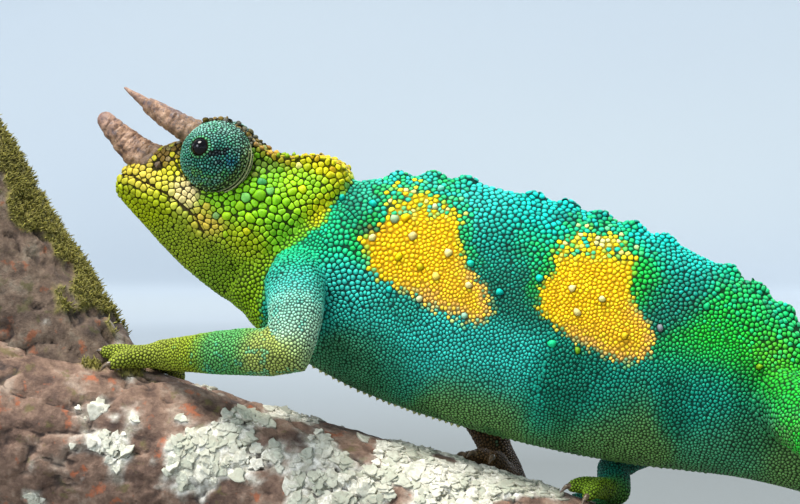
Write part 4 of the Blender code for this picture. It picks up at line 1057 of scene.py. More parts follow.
def scaleFinish(name, look):
    # one colour for each scale, paler in the middle, darker at its rim, finely clouded; the darker rim is
    # painted shade down the sides of each dome and between the scales
    f = Finish(name)
    fine = f.noise(look["grain"], 3.0, 0.6)
    profile = f.ramp(f.field("rim"), *((at, (level * 255,) * 3) for at, level in look["profile"]))
    shade = f.maths("MULTIPLY", f.node("ShaderNodeSeparateColor", {0: profile}).outputs[0], look["strength"])
    each = f.span(f.field("chance"), 0.0, 1.0, 1 - look["spread"], 1 + look["spread"])
    mottle = f.span(fine, 0.25, 0.75, 1 - look["mottle"], 1 + look["mottle"])
    factor = f.maths("MULTIPLY", f.maths("MULTIPLY", shade, each), mottle)
    grey = f.node("ShaderNodeCombineColor", {0: factor, 1: factor, 2: factor}).outputs[0]
    return f.shaded(f.mix(1.0, f.field("tint"), grey, "MULTIPLY"),
                    f.span(fine, 0.3, 0.7, look["gloss"] - 0.05, look["gloss"] + 0.10),
                    f.bump(f.noise(look["grain"] * 3.2, 2.0, 0.5), 0.25, 0.00006), Specular_IOR_Level=0.17)


def skinFinish():
    # the soft skin between the scales, clouded towards near black as painted shade in the gaps
    f = Finish("soft_skin")
    fine = f.noise(2600.0, 3.0, 0.6)
    tone = f.mix(f.span(fine, 0.3, 0.7, 0.0, 0.5), f.field("tint"), light((8, 16, 10)))
    return f.shaded(tone, 0.7, f.bump(fine, 0.3, 0.0001), Specular_IOR_Level=0.08)


softSkin = skinFinish()
headFinish = scaleFinish("head_scales", {
    "grain": 1500.0, "spread": 0.12, "mottle": 0.10, "gloss": 0.44, "strength": 1.42,
    "profile": ((0.0, 0.72), (0.35, 0.86), (0.62, 0.90), (0.80, 0.62), (1.0, 0.42))})
bodyFinish = scaleFinish("body_scales", {
    "grain": 1500.0, "spread": 0.16, "mottle": 0.08, "gloss": 0.46, "strength": 1.42,
    "profile": ((0.0, 0.90), (0.45, 0.80), (0.75, 0.58), (1.0, 0.44))})

# The skin and its coat of scales

skinGrain = clouds(skinPoints, 1.2, 31) * 0.8
skinColour = markings(skinPoints, skinOwner, skinGrain)
# the skin between the scales is kept at about a third of the markings' colour as painted shade in the gaps,
# less so in the golden patches and where the scales are fine
golden = smooth((skinColour[:, 0] - skinColour[:, 2] - 120) / 60) * smooth((skinPoints[:, 0] + 12) / 4)
fine = smooth((0.66 - scaleSizes(skinPoints, skinOwner)) / 0.12) * ~np.isin(skinOwner, headParts)
skinTint = light(skinColour * blend(0.36 + 0.16 * fine, 0.74, golden)[:, None])
mouthGap = mouthDistance(*headPlace(skinPoints))
lipShade = np.exp(-(mouthGap / 0.20) ** 2) * (
    headPlace(skinPoints)[0] < mouthEnd) * np.isin(skinOwner, headParts)
skinTint = blend(skinTint, light((70, 46, 22)), lipShade[:, None])
skin = meshPiece("skin", skinPoints, [skinQuads], softSkin)
paint(skin, skinTint)
mount(skin, "teal_scales", *names)
report("skin painted")

seedGrain = rng.uniform(-1, 1, len(seedPlace))
seedColour = markings(seedPlace, seedOwner, seedGrain)
seedRise = np.ones(len(seedPlace))
for i in range(fixedCount):
    _, tone, seedRise[i] = fixed[int(seedIndex[i])]
    if tone:
        own = 0.6 if seedOwner[i] in headParts else 0.85
        seedColour[i] = blend(seedColour[i], colours[tone], own)
seedTint = light(np.clip(seedColour * (1.05 + 0.07 * seedGrain[:, None]), 0, 250))
sizeRise = np.clip(seedSize / 0.8, 0.66, 1.4) * (1 + 0.25 * seedGrain ** 2)

bodyAlong, bodyTurns, bodyWays = alongAround(seedPlace, bodyLine, (0, 1, 0))
headAlong, headTurns, headWays = alongAround(seedPlace, headLine, (0, 1, 0))
headLook = {"directions": 10, "gap": 0.045, "roundness": 0.35, "height": 0.20, "mouth": True,
            "rings": ((1.0, -0.14, 1.0), (0.94, 0.55, 0.7), (0.68, 0.92, 0.35))}
bodyLook = {"directions": 8, "gap": 0.032, "roundness": 0.45, "height": 0.25,
            "rings": ((1.0, -0.14, 1.0), (0.82, 0.62, 0.5))}


def coat(label, chosen, along, turns, ways, finish, slot, look, limit):
    order = np.flatnonzero(chosen)
    order = order[np.argsort(along[order])]
    parts = max(1, math.ceil(len(order) / limit))
    for number, index in enumerate(np.array_split(order, parts), 1):
        name = f"{label}_{number}" if parts > 1 else label
        buildScales(name, seedPlace[index], seedNormal[index], seedSize[index], seedTint[index],
                    seedRise[index] * sizeRise[index], ways[index], pieceMap(along[index], turns[index]),
                    finish, slot, look)


headWay, bodyWay = (headAlong, headTurns, headWays), (bodyAlong, bodyTurns, bodyWays)
for label, parts, way, finish, slot, look, limit in (
        ("scales_head", headParts, headWay, headFinish, "green_scales", headLook, 3600),
        ("scales_trunk", trunkParts + [neckPart], bodyWay, bodyFinish, "teal_scales", bodyLook, 7600)):
    here, isLeft = np.isin(seedOwner, parts), seedPlace[:, 1] <= 0
    for side, chosen in (("left", isLeft), ("right", ~isLeft)):
        coat(f"{label}_{side}", here & chosen, *way, finish, slot, look, limit)
coat("scales_tail", np.isin(seedOwner, tailParts), *bodyWay, bodyFinish, "teal_scales", bodyLook, 7600)
for limb, parts in limbParts.items():
    coat("scales_" + limb, np.isin(seedOwner, parts), *alongAround(seedPlace, limbLines[limb], (0, 0, 1)),
         bodyFinish, "green_scales", bodyLook, 7600)
report("scales laid")

# Eye turrets: a turned cone of skin with rim folds, fine beads and lids

bothSides = ((-1, "left"), (1, "right"))
turret = {"beads": 0.47, "sink": 0.14, "folds": 0.13, "rows": 90, "sides": 120,
          "rims": ((89.0, 62, 0.09), (93.5, 72, 0.12), (98.5, 74, 0.12), (103.0, 60, 0.1))}
turretFinish = scaleFinish("turret_scales", {
    "grain": 1800.0, "spread": 0.25, "mottle": 0.12, "gloss": 0.40, "strength": 1.45,
    "profile": ((0.0, 0.92), (0.4, 0.74), (0.7, 0.42), (1.0, 0.26))})


def turretAxes(side):
    look = eye["look"] * (1, -side, 1)
    centre = headPoint(eye["h"], eye["u"], side * eye["side"])
    across = unit(np.cross(look, (0, 0, 1)))
    return centre, look, across, np.cross(look, across)


def turretTone(points, side, grain):
    centre, look, _, _ = turretAxes(side)
    off = points - centre
    out, x, z = off @ look, off[:, 0], off[:, 2]
    angle = np.degrees(np.arccos(np.clip(out / np.maximum(np.linalg.norm(off, axis=1), 1e-6), -1, 1)))
    tone = tinted(colours["turretBack"], "turretFront", smooth((angle - 30) / 40))
    tone = tinted(tone, "turretTop", smooth((z - 2.2) / 2) * 0.8)
    tone = tinted(tone, "turretBlue", np.exp(-((x - 2.8) / 1.5) ** 2 - ((z + 0.4) / 1.2) ** 2) * 0.7)
    streak = smooth(cloud(np.stack([x * 0.5, off[:, 1], z * 2.4 - x * 0.5], 1), 1.4, 8) * 2.2)
    streak = streak * np.exp(-((x - 1.2) / 2.4) ** 2 - ((z - 1.0) / 1.8) ** 2)
    tone = tinted(tone, "turretStreak", np.clip(streak * 1.5, 0, 0.92))
    low = smooth((clouds(points, 1.3, 12) + 0.4 * grain) / 0.5) * smooth((-0.5 - z) / 2)
    tone = tinted(tone, "turretLow", low * 0.6)
    tone = tinted(tone, "lid", np.exp(-((angle - 15.5) / 3.0) ** 2) * 0.6)
    tone = tinted(tone, "turretSpeck", smooth((clouds(points, 0.9, 17) - 0.1 + 0.4 * grain) / 0.4) * 0.5)
    return tinted(tone, "turretRim", smooth((angle - 66) / 10) * smooth((1.5 - z + 0.35 * x) / 3) * 0.7)


def turretShape(angle, sink=0.0):
    radius = eye["radius"] + eye["bulge"] * np.exp(-(angle / math.radians(26)) ** 2) - sink
    past = angle - math.radians(60)
    folds = turret["folds"] * np.sin(past * 44) * smooth(past / 0.2)
    return radius + folds * smooth((math.radians(118) - angle) / 0.2)


def aroundAxis(axes, out, wide, turn):
    # places this far out along the look, this wide of it, and turned round it
    centre, look, across, other = axes
    out, wide, turn = (np.asarray(v, float)[..., None] for v in (out, wide, turn))
    return centre + look * out + wide * (np.cos(turn) * across + np.sin(turn) * other)


def turretShell(side, axes):
    # the turret's skin, and which of its triangles carry beads
    angles = np.radians(np.linspace(14.2, 128, turret["rows"]))
    radii = turretShape(angles, turret["sink"])
    profile = [(r * math.sin(a), r * math.cos(a)) for a, r in zip(angles, radii)]
    front = profile[0][1]
    lip = [(0.3, front - 1.6), (1.28, front - 1.5), (1.34, front - 0.7), (1.31, front - 0.25),
           (1.36, front + 0.02), (1.45, front + 0.10)]
    profile = np.array(lip + profile + [(profile[-1][0] * 0.4, profile[-1][1] - 0.5)])
    turns = np.linspace(0, math.tau, turret["sides"], endpoint=False)
    points = aroundAxis(axes, profile[:, 1:], profile[:, :1], turns).reshape(-1, 3)
    inner = eye["septum"] - 0.6
    points[:, 1] = np.where(side * points[:, 1] < inner, side * inner, points[:, 1])
    quads = ringFaces(len(profile), turret["sides"])
    if side > 0:
        quads = quads[:, ::-1]
    tris = halves(quads)
    normals = meshNormals(points, tris)
    if ((points - axes[0]) * normals).sum() < 0:
        quads, tris, normals = quads[:, ::-1], tris[:, ::-1], -normals
    row = np.arange(len(profile)).repeat(turret["sides"])
    usable = np.isin(tris, np.flatnonzero((row >= len(lip)) & (row < len(profile) - 2))).all(1)
    usable &= side * points[tris].mean(1)[:, 1] > eye["septum"] - 0.3
    return points, quads, tris[usable], normals


def makeTurret(side, label):
    axes = turretAxes(side)
    centre, look, across, other = axes
    points, quads, tris, normals = turretShell(side, axes)
    shell = meshPiece(f"turret_skin_{label}", points, [quads], softSkin)
    # the skin under the beads at about a third of their colour: painted shade in the gaps
    paint(shell, light(turretTone(points, side, np.zeros(len(points))) * 0.36))
    mount(shell, "eye_scales", f"eye_turret_{label}")
    where, facing, _ = sampled(points, normals, tris, np.full(len(tris), turret["beads"]), 12)
    finder = treeOf(where)
    rings = []
    for degrees, count in ((17.0, 26), (21.5, 30), (26.5, 36)):  # the lid's even rings
        a = math.radians(degrees)
        r = turretShape(a, turret["sink"])
        t = math.tau * (np.arange(count) + 0.5 * (degrees > 20)) / count
        rings += [finder.find(spot)[1]
                  for spot in aroundAxis(axes, r * math.cos(a), r * math.sin(a), t).tolist()]
    bead, beadNormal, beadSize, _, _ = placeSeeds(where, facing, np.full(len(where), turret["beads"]),
                                                  dict.fromkeys(rings, 0.46))
    grain = rng.uniform(-1, 1, len(bead))
    tone = turretTone(bead, side, grain)
    tone = tinted(tone, "turretPale", (rng.random(len(bead)) < 0.22) * 0.45)
    off = bead - centre
    angle = np.arccos(np.clip((off @ look) / np.linalg.norm(off, axis=1), -1, 1))
    turn = np.arctan2(off @ other, off @ across) / math.tau
    buildScales(f"scales_turret_{label}", bead, beadNormal, beadSize, light(np.clip(tone * 1.1, 0, 255)),
                np.ones(len(bead)), unit(np.cross(look, beadNormal)), pieceMap(angle, turn), turretFinish,
                "eye_scales", {"directions": 8, "gap": 0.035, "roundness": 0.7, "height": 0.27,
                               "rings": ((1.0, -0.2, 1.0), (0.78, 0.66, 0.45))})
    # pale thin folds round the lower rear rim
    rear = np.array((0.62, 0.0, -0.78))
    middleTurn = math.atan2(rear @ other, rear @ across)
    for degrees, reach, thick in turret["rims"]:
        t = middleTurn + np.radians(np.linspace(-reach, reach, 60))
        a = np.radians(degrees + 1.5 * np.cos(t - middleTurn))
        r = turretShape(a) + 0.10
        width = thick * (0.25 + 0.75 * np.sin(np.linspace(0, math.pi, 60)))
        points, quads, caps = closedTube(aroundAxis(axes, r * np.cos(a), r * np.sin(a), t), width, 8)
        fold = meshPiece(f"turret_fold_{label}_{degrees:.0f}", points, [quads, caps], turretFinish)
        paint(fold, light((176, 176, 126)), rim=np.full(len(points), 0.3), chance=np.full(len(points), 0.5))
        mount(fold, "eye_scales")


for side, label in bothSides:
    makeTurret(side, label)
report("turrets made")

# Eyeballs

eyeballLook = {"radius": 1.42, "out": 4.92, "rows": 30, "sides": 40}


def eyeFinish():
    # black glossy pupil with a thin dark iris at the lids
    f = Finish("eyeball")
    iris = f.ramp(f.noise(5200.0, 4.0, 0.7), (0.3, (46, 30, 16)), (0.5, (96, 70, 30)), (0.7, (60, 44, 26)))
    tone = f.mix(f.span(f.field("rim"), 0.88, 0.96, 0.0, 1.0), light((3, 3, 5)), iris)
    return f.shaded(tone, 0.07, Specular_IOR_Level=0.32)


ballFinish = eyeFinish()
rows, around = eyeballLook["rows"], eyeballLook["sides"]
for side, label in bothSides:
    axes = turretAxes(side)
    polar = np.radians(np.linspace(0.5, 179.5, rows))[:, None]
    radius = eyeballLook["radius"] * (1 + 0.05 * np.exp(-(polar / 0.6) ** 2))
    turns = np.linspace(0, math.tau, around, endpoint=False)
    points = aroundAxis(axes, eyeballLook["out"] + radius * np.cos(polar), radius * np.sin(polar), turns)
    ring = np.arange(around)
    faces = [ringFaces(rows, around), np.vstack([ring[::-1], ring + around * (rows - 1)])]
    if side > 0:
        faces = [f[:, ::-1] for f in faces]
    ball = meshPiece(f"eye_{label}", points.reshape(-1, 3), faces, ballFinish)
    paint(ball, light((8, 8, 10)), rim=np.repeat(np.sin(polar), around))
    mount(ball, "eye", f"eyeball_{label}")
report("eyes made")

# Horns: tan-brown with violet-grey mottling, faint growth rings

browRadii = (2.1, 2.05, 1.95, 1.82, 1.66, 1.5, 1.34, 1.2, 1.12, 0.74, 0.62, 0.44, 0.16)
browShares = (0.0, 0.1, 0.2, 0.3, 0.4, 0.5, 0.6, 0.69, 0.73, 0.75, 0.82, 0.9, 1.0)
noseRadii = (3.1, 2.95, 2.8, 2.6, 2.4, 2.2, 2.02, 1.88, 1.74, 1.6, 1.35)
noseShares = np.linspace(0, 1, 11)
horns = {  # piece: node, root, tip, sag, radii at these shares of the length
    "nose_horn": ("horn_nose", (-36.4, 0.0, 12.5), (-44.9, 0.0, 19.7), 0.45, noseRadii, noseShares),
    "brow_horn_left": ("horn_brow_left", (-28.3, -3.5, 16.4), (-41.3, -3.3, 24.6), 0.35, browRadii,
                       browShares),
    "brow_horn_right": ("horn_brow_right", (-29.2, 3.5, 16.4), (-42.5, 3.3, 24.6), 0.35, browRadii,
                        browShares),
}


def hornFinish():
    f = Finish("horn_sheath")
    fine, along = f.noise(2600.0, 4.0, 0.65), f.field("rim")
    tone = f.ramp(f.noise(620.0, 4.0, 0.62), (0.32, (66, 54, 62)), (0.43, (112, 82, 62)),
                  (0.55, (154, 118, 90)), (0.70, (192, 156, 128)))
    tone = f.mix(f.span(along, 0.45, 0.05, 0.0, 0.8), tone, light((92, 74, 42)))
    tone = f.mix(f.span(along, 0.75, 1.0, 0.0, 0.5), tone, light((148, 116, 104)))
    tone = f.mix(f.span(fine, 0.46, 0.34, 0.0, 0.85), tone, light((56, 44, 44)))
    pits = f.node("ShaderNodeTexVoronoi", {"Scale": 1300.0, "Vector": f.where}).outputs["Distance"]
    high = f.maths("ADD", fine, f.maths("MULTIPLY", pits, 0.6))
    return f.shaded(tone, f.span(fine, 0.3, 0.7, 0.38, 0.62), f.bump(high, 0.5, 0.0002))


def makeHorn(name, replaced, root, tip, sag, radii, stops):
    root, tip = np.array(root), np.array(tip)
    way = unit(tip - root)
    down = np.array((-way[2], 0, way[0]))
    length = np.linalg.norm(tip - root)

    def middleAt(share):
        return blend(root, tip, share[:, None]) + down * (sag * 4 * share * (1 - share))[:, None]

    share = np.linspace(0, 1, 130)
    points, quads, caps = closedTube(middleAt(share), np.interp(share, stops, radii), 48)
    along = np.clip(((points - root) @ way) / length, 0, 1)
    out = unit(points - middleAt(along))
    growth = 0.07 * (np.abs(np.sin(along * length * math.pi / 1.25
                                   + 1.4 * cloud(points, 1.6, 2))) ** 0.5 - 0.7)
    lumps = 0.12 * clouds(points, 1.5, 7) + 0.09 * clouds(points, 0.55, 3)
    swell = np.interp(along, stops, radii) * (growth + lumps) * smooth((1 - along) / 0.06)
    made = meshPiece(name, points + out * swell[:, None], [quads, caps], hornSheath)
    paint(made, light((150, 120, 100)), rim=along)
    mount(made, "horn", replaced)


hornSheath = hornFinish()
for name, horn in horns.items():
    makeHorn(name, *horn)

# Claws

clawLook = {"length": 2.2, "radii": (0.5, 0.56, 0.36, 0.07)}


def clawFinish():
    f = Finish("claw")
    return f.shaded(f.ramp(f.noise(1800.0, 3.0, 0.6), (0.3, (52, 42, 34)), (0.6, (112, 94, 72)),
                           (0.8, (150, 132, 104))), 0.3)


horny = clawFinish()
for limbName, footName in footOfLimb.items():
    tubes = []
    for lastStop, tip in footTubes(footName, limbName)[1]:
        end, before = perchPoint(*tip, 1.25), perchPoint(*lastStop, 1.5)
        way = unit(end - before)
        out = unit(end - perchPoint(*tip, 0.0))
        stretch = clawLook["length"] / np.linalg.norm(end - before)
        point = perchPoint(*(tip + stretch * (tip - lastStop)), 0.28)
        root = end + way * 0.35 + out * 0.15
        bend = blend(root, point, 0.55) + out * 0.5
        path = through((root - way * 0.6, root, bend, point), np.linspace(0, 3, 12))
        tubes.append(closedTube(path, np.interp(np.linspace(0, 3, 12), range(4), clawLook["radii"]), 12))
    points, quads, caps = zip(*tubes)
    count = len(points[0])
    faces = [np.vstack([f + number * count for number, f in enumerate(kind)]) for kind in (quads, caps)]
    mount(meshPiece(f"claws_{footName}", np.vstack(points), faces, horny), "horn")
report("horns and claws made")

# Perch: two limbs with cracked bark, lichen and moss

barkLook = {"step": 0.5, "plates": 0.9, "cracks": 0.9, "stretch": (0.55, 1.0, 0.9), "ring": 1.15,
            "sawnRings": (0.93, 0.8, 0.6, 0.4, 0.2),
            "lichenZones": ((-20, -32.5, 19, 6.6, 1.0), (12, -33, 16, 6, 0.85))}


def barkFinish():
    f = Finish("bark")
    fine, rusty = f.noise(900.0, 5.0, 0.68), f.noise(330.0, 4.0, 0.6)
    tone = f.ramp(f.noise(210.0, 6.0, 0.66), (0.28, (70, 52, 46)), (0.42, (118, 92, 78)),
                  (0.54, (158, 128, 110)), (0.68, (186, 166, 150)))
    tone = f.mix(f.span(fine, 0.32, 0.62, 0.55, 0.0), tone, light((62, 44, 38)))
    tone = f.mix(f.span(rusty, 0.60, 0.68, 0.0, 0.75), tone, light((190, 104, 62)))
    tone = f.mix(f.span(rusty, 0.40, 0.32, 0.0, 0.7), tone, light((112, 104, 58)))
    tone = f.mix(1.0, tone, f.field("tint"), "MULTIPLY")
    pale = f.mix(f.span(fine, 0.4, 0.62, 0.0, 1.0), light((172, 168, 150)), light((240, 236, 224)))
    tone = f.mix(f.field("lichen"), tone, pale)
    green = f.mix(f.span(fine, 0.35, 0.65, 0.0, 1.0), light((66, 62, 18)), light((150, 140, 66)))
    tone = f.mix(f.field("moss"), tone, green)
    # near black in the cracks: painted shade in the crevices
    tone = f.mix(f.span(f.field("rim"), 0.45, 0.0, 0.0, 0.9), tone, light((34, 24, 22)))
    return f.shaded(tone, f.span(fine, 0.2, 0.8, 0.95, 0.7), f.bump(fine, 0.7, 0.0006))


def barkDepth(points):
    # how far the bark sinks, in mm, with long cracks and flat plates
    q = points * barkLook["stretch"]
    warp = clouds(q, 9.0, 2, 3)[:, None] * 3.0
    ridges = 1 - np.abs(clouds(q + warp, 4.2, 4, 4)) * 2.6
    cracks = smooth((ridges - 0.62) / 0.38) * smooth((clouds(q, 11.0, 19, 2) + 0.35) / 0.5)
    plates = clouds(q, 2.6, 8, 4)
    flakes = np.abs(clouds(q, 1.6, 15, 3))
    return barkLook["cracks"] * cracks + barkLook["plates"] * (0.5 - 0.5 * plates) + 0.5 * flakes, cracks


def lichenAt(points):
    a, b = sideView(points)
    zone = 0.26 + sum(strong * np.exp(-((a - a0) / wide) ** 2 - ((b - b0) / high) ** 2)
                      for a0, b0, wide, high, strong in barkLook["lichenZones"])
    return smooth((zone * 0.62 + 0.9 * clouds(points, 6.0, 41, 4) - 0.42) / 0.22)


def mossAt(points, edge):
    return smooth((edge * 1.1 + 1.1 * clouds(points, 4.0, 51, 4) - 0.66) / 0.25)


barkBrown = barkFinish()


def barkPiece(name, grid, axis, centreLine, tint, mossEdge, replaced):
    rows, sides = grid.shape[:2]
    points = grid.reshape(-1, 3)
    out = unit(points - centreLine.repeat(sides, axis=0))
    depth, cracks = barkDepth(points)
    moss = mossAt(points, mossEdge.ravel())
    lichen = lichenAt(points) * (1 - moss)
    fade = np.repeat(smooth(np.minimum(np.arange(rows), np.arange(rows)[::-1]) / 2.0), sides)
    points = points - out * ((depth * 0.9 - 0.12 - 0.35 * moss - 0.15 * lichen) * fade)[:, None]
    quads = ringFaces(rows, sides)
    # sawn ends, domed a little, in rings down to a middle point
    shares, around = barkLook["sawnRings"], np.arange(sides)
    blocks, endQuads, endTris, count = [points], [], [], len(points)
    for row, way in ((0, -1), (rows - 1, 1)):
        edge = points[row * sides:(row + 1) * sides]
        middle = edge.mean(0)
        blocks += [blend(middle, edge, s) + unit(axis) * way * 0.25 * (1 - s)
                   for s in shares] + [middle[None]]
        links = np.array([around + row * sides] + [count + k * sides + around for k in range(len(shares))])
        low, high = links[:-1], links[1:]
        faces = np.stack([low, np.roll(low, -1, 1), np.roll(high, -1, 1), high], -1).reshape(-1, 4)
        tip = count + len(shares) * sides
        endQuads.append(faces[:, ::way])
        endTris.append(fanFaces(tip - sides, sides, tip)[:, ::way])
        count = tip + 1
    allPoints = np.vstack(blocks)
    made = meshPiece(name, allPoints, [np.vstack([quads] + endQuads), np.vstack(endTris)], barkBrown)
    core = np.linalg.norm(np.cross(allPoints - centreLine[0], unit(axis)), axis=1)
    ends = np.zeros(len(allPoints) - len(points))
    # rim is low in the cracks, where the bark finish paints shade; the sawn ends get none
    paint(made, tint, core=core, rim=np.concatenate([1 - cracks, ends + 0.8]),
          lichen=np.concatenate([lichen, ends]), moss=np.concatenate([moss, ends]))
    made.data.materials.append(endWood)
    finish = np.zeros(len(made.data.polygons), np.int32)
    finish[len(quads):] = 1
    made.data.polygons.foreach_set("material_index", finish)
    mount(made, "bark", replaced)
    return points, out, moss, lichen


def endWoodFinish():
    # rings of the cut ends
    f = Finish("cut_wood")
    wander = f.span(f.noise(90.0, 3.0, 0.55), 0.0, 1.0, -1.6, 1.6)
    turns = f.maths("MULTIPLY", f.maths("ADD", f.field("core"), wander), math.tau / barkLook["ring"])
    rings = f.span(f.maths("SINE", turns, 0.0), -1.0, 1.0, 0.0, 1.0)
    fine = f.noise(1500.0, 4.0, 0.6)
    tone = f.ramp(rings, (0.05, (150, 114, 76)), (0.35, (190, 156, 112)), (0.9, (200, 170, 126)))
    tone = f.mix(f.span(fine, 0.45, 0.7, 0.0, 0.5), tone, light((110, 82, 56)))
    return f.shaded(tone, 0.8, f.bump(fine, 0.4, 0.0003))


endWood = endWoodFinish()
perchStart, perchEnd = perch["start"], perch["end"]
perchLength = perchEnd[0] - perchStart[0]
rowX = np.linspace(perchStart[0] + 0.01, perchEnd[0] - 0.01, round(perchLength / barkLook["step"]))
turns = np.linspace(0, 360, 168, endpoint=False)
turns = np.where(turns > 180, turns - 360, turns)
perchCentre = blend(perchStart, perchEnd, ((rowX - perchStart[0]) / perchLength)[:, None])
limbMoss = 0.75 * np.exp(-((rowX + 46) / 9) ** 2)[:, None] * np.exp(-((turns - 8) / 50) ** 2)
limbSpots = barkPiece("perch_bark", perchPoint(rowX[:, None], turns), perchEnd - perchStart, perchCentre,
                      (0.72, 0.70, 0.66), limbMoss, "perch_limb")

forkWay = unit(fork["end"] - fork["start"])
forkOther = unit(np.cross(forkWay, (0, 1, 0)))
share = np.linspace(0, 1, 108)[:, None]
angle = np.linspace(0, math.tau, 150, endpoint=False)
wave = 1 + perch["waves"] * (np.sin(3 * angle + 7 * share) + 0.6 * np.sin(2 * angle - 5 * share))
forkOut = np.outer(np.cos(angle), (0.0, 1.0, 0.0)) + np.outer(np.sin(angle), forkOther)
forkCentre = blend(fork["start"], fork["end"], share)
forkRadius = blend(*fork["radii"], np.minimum(1, 1.4 * share)) * wave
forkGrid = forkCentre[:, None] + forkOut * forkRadius[..., None]
rightEdge = np.clip(forkOut @ unit((0.93, 0.1, 0.35)) * 1.6 - 0.75, 0, 1) * smooth((share - 0.25) / 0.2)
forkSpots = barkPiece("fork_bark", forkGrid, forkWay, forkCentre, (0.44, 0.46, 0.42), rightEdge * 1.05 + 0.18,
                      "perch_fork")
report("bark made")

# Lichen leaves and moss blades on the bark

lichenLook = {"limbLeaves": 2100, "forkLeaves": 200, "radius": (0.45, 1.35), "sides": 10}


def spotsBy(share, least, count):
    # that many places of the bark, more of them where its share is high
    weight = np.maximum(share - least, 0)
    return rng.choice(len(share), count, p=weight / weight.sum())


def lichenFinish():
    f = Finish("lichen")
    fine = f.noise(1500.0, 4.0, 0.65)
    tone = f.mix(f.span(fine, 0.35, 0.62, 0.8, 0.0), f.field("tint"), light((166, 162, 144)))
    tone = f.mix(f.span(f.field("rim"), 0.75, 1.0, 0.0, 0.35), tone, light((178, 172, 154)))
    return f.shaded(tone, 0.85, f.bump(fine, 0.5, 0.0003))


lichenPale = lichenFinish()
sides = lichenLook["sides"]
perLeaf = 4 * sides + 1
leafFaces = (ringFaces(4, sides), fanFaces(3 * sides, sides, 4 * sides), np.arange(sides)[::-1][None])
for name, (points, out, _, lichen), leaves in (("lichen_limb", limbSpots, lichenLook["limbLeaves"]),
                                               ("lichen_fork", forkSpots, lichenLook["forkLeaves"])):
    pickAt = spotsBy(lichen, 0.3, leaves)
    root, up = points[pickAt] + out[pickAt] * 0.05, unit(out[pickAt] + rng.normal(0, 0.16, (leaves, 3)))
    across = unit(np.cross(up, rng.normal(0, 1, (leaves, 3))))
    other = np.cross(up, across)
    t = np.linspace(0, math.tau, sides, endpoint=False)[None]
    size = rng.uniform(*lichenLook["radius"], (leaves, 1)) * rng.uniform(0.5, 1, (leaves, 1))
    phase = rng.uniform(0, math.tau, (leaves, 3, 1))
    edge = size * (1 + 0.24 * np.sin(3 * t + phase[:, 0]) + 0.16 * np.sin(5 * t + phase[:, 1]))
    flat = ((edge * np.cos(t))[..., None] * across[:, None] + (edge * np.sin(t))[..., None] * other[:, None])
    curl = 0.13 + 0.10 * np.sin(4 * t + phase[:, 2])
    blocks, rims = [], []
    for share, low, curled, rim in ((0.90, -0.35, 0.0, 1.0), (1.0, 0.0, 0.7, 1.0), (0.93, 0.0, 1.0, 0.8),
                                    (0.6, 0.10, 0.2, 0.2)):
        blocks.append(root[:, None] + flat * share + (low + curled * curl)[..., None] * up[:, None])
        rims.append(np.full((leaves, sides), rim))
    blocks.append((root + up * 0.12)[:, None])
    rims.append(np.zeros((leaves, 1)))
    leaf = meshPiece(name, np.concatenate(blocks, 1).reshape(-1, 3),
                     [copies(faces, leaves, perLeaf) for faces in leafFaces], lichenPale)
    grey = smooth(0.5 + 0.9 * clouds(root, 3.0, 33))[:, None]
    pale = blend((172, 176, 156), (232, 228, 214), grey) * rng.uniform(0.93, 1.05, (leaves, 1))
    paint(leaf, np.repeat(light(pale), perLeaf, axis=0), rim=np.concatenate(rims, 1).ravel())
    mount(leaf, "bark")
report("lichen made")


mossLook = {"limbBlades": 1300, "forkBlades": 5200, "length": (0.35, 1.1), "width": 0.12}


def mossFinish():
    f = Finish("moss")
    tone = f.mix(f.span(f.field("rim"), 0.0, 1.0, 0.65, 0.0), f.field("tint"), light((44, 40, 18)))
    tone = f.mix(f.span(f.noise(1300.0, 2.0, 0.5), 0.4, 0.7, 0.0, 0.4), tone, light((176, 166, 88)))
    return f.shaded(tone, 0.75)


mossGreen = mossFinish()
thirds = [(math.cos(t), math.sin(t)) for t in (0, 2.094, 4.189)]
bladeFaces = (ringFaces(3, 3), np.array(((6, 7, 8), (2, 1, 0))))
for name, (points, out, moss, _), blades in (("moss_limb", limbSpots, mossLook["limbBlades"]),
                                             ("moss_fork", forkSpots, mossLook["forkBlades"])):
    pickAt = spotsBy(moss, 0.35, blades)
    root = points[pickAt] + rng.normal(0, 0.2, (blades, 3))
    lean = unit(out[pickAt] + rng.normal(0, 0.55, (blades, 3)) + np.array((0, 0, 0.25)))
    tall = rng.uniform(*mossLook["length"], blades)[:, None]
    aside = unit(np.cross(lean, rng.normal(0, 1, (blades, 3))))
    third = np.cross(lean, aside)
    blocks, rims = [], []
    for up, wide in ((-0.2, 1.0), (0.55, 0.8), (1.0, 0.12)):
        middle = root + lean * tall * up + aside * tall * 0.22 * up * up
        blocks += [middle + (aside * c + third * s) * mossLook["width"] * wide for c, s in thirds]
        rims += [max(up, 0)] * 3
    tuft = meshPiece(name, np.stack(blocks, 1).reshape(-1, 3),
                     [copies(faces, blades, 9) for faces in bladeFaces], mossGreen)
    green = blend((96, 92, 30), (176, 168, 70), rng.random((blades, 1)))
    paint(tuft, np.repeat(light(green), 9, axis=0), rim=np.tile(rims, blades))
    patch = np.stack([0.02 + 0.96 * (pickAt / len(points)), 0.02 + 0.96 * ((pickAt * 0.618) % 1)], 1)
    unwrap(tuft, np.repeat(patch, 9, axis=0) + np.tile(thirds * 3, (blades, 1)) * uvReach)
    mount(tuft, "bark")
report("moss made")

# Stand: oiled wooden plate and brushed rods, the solids themselves


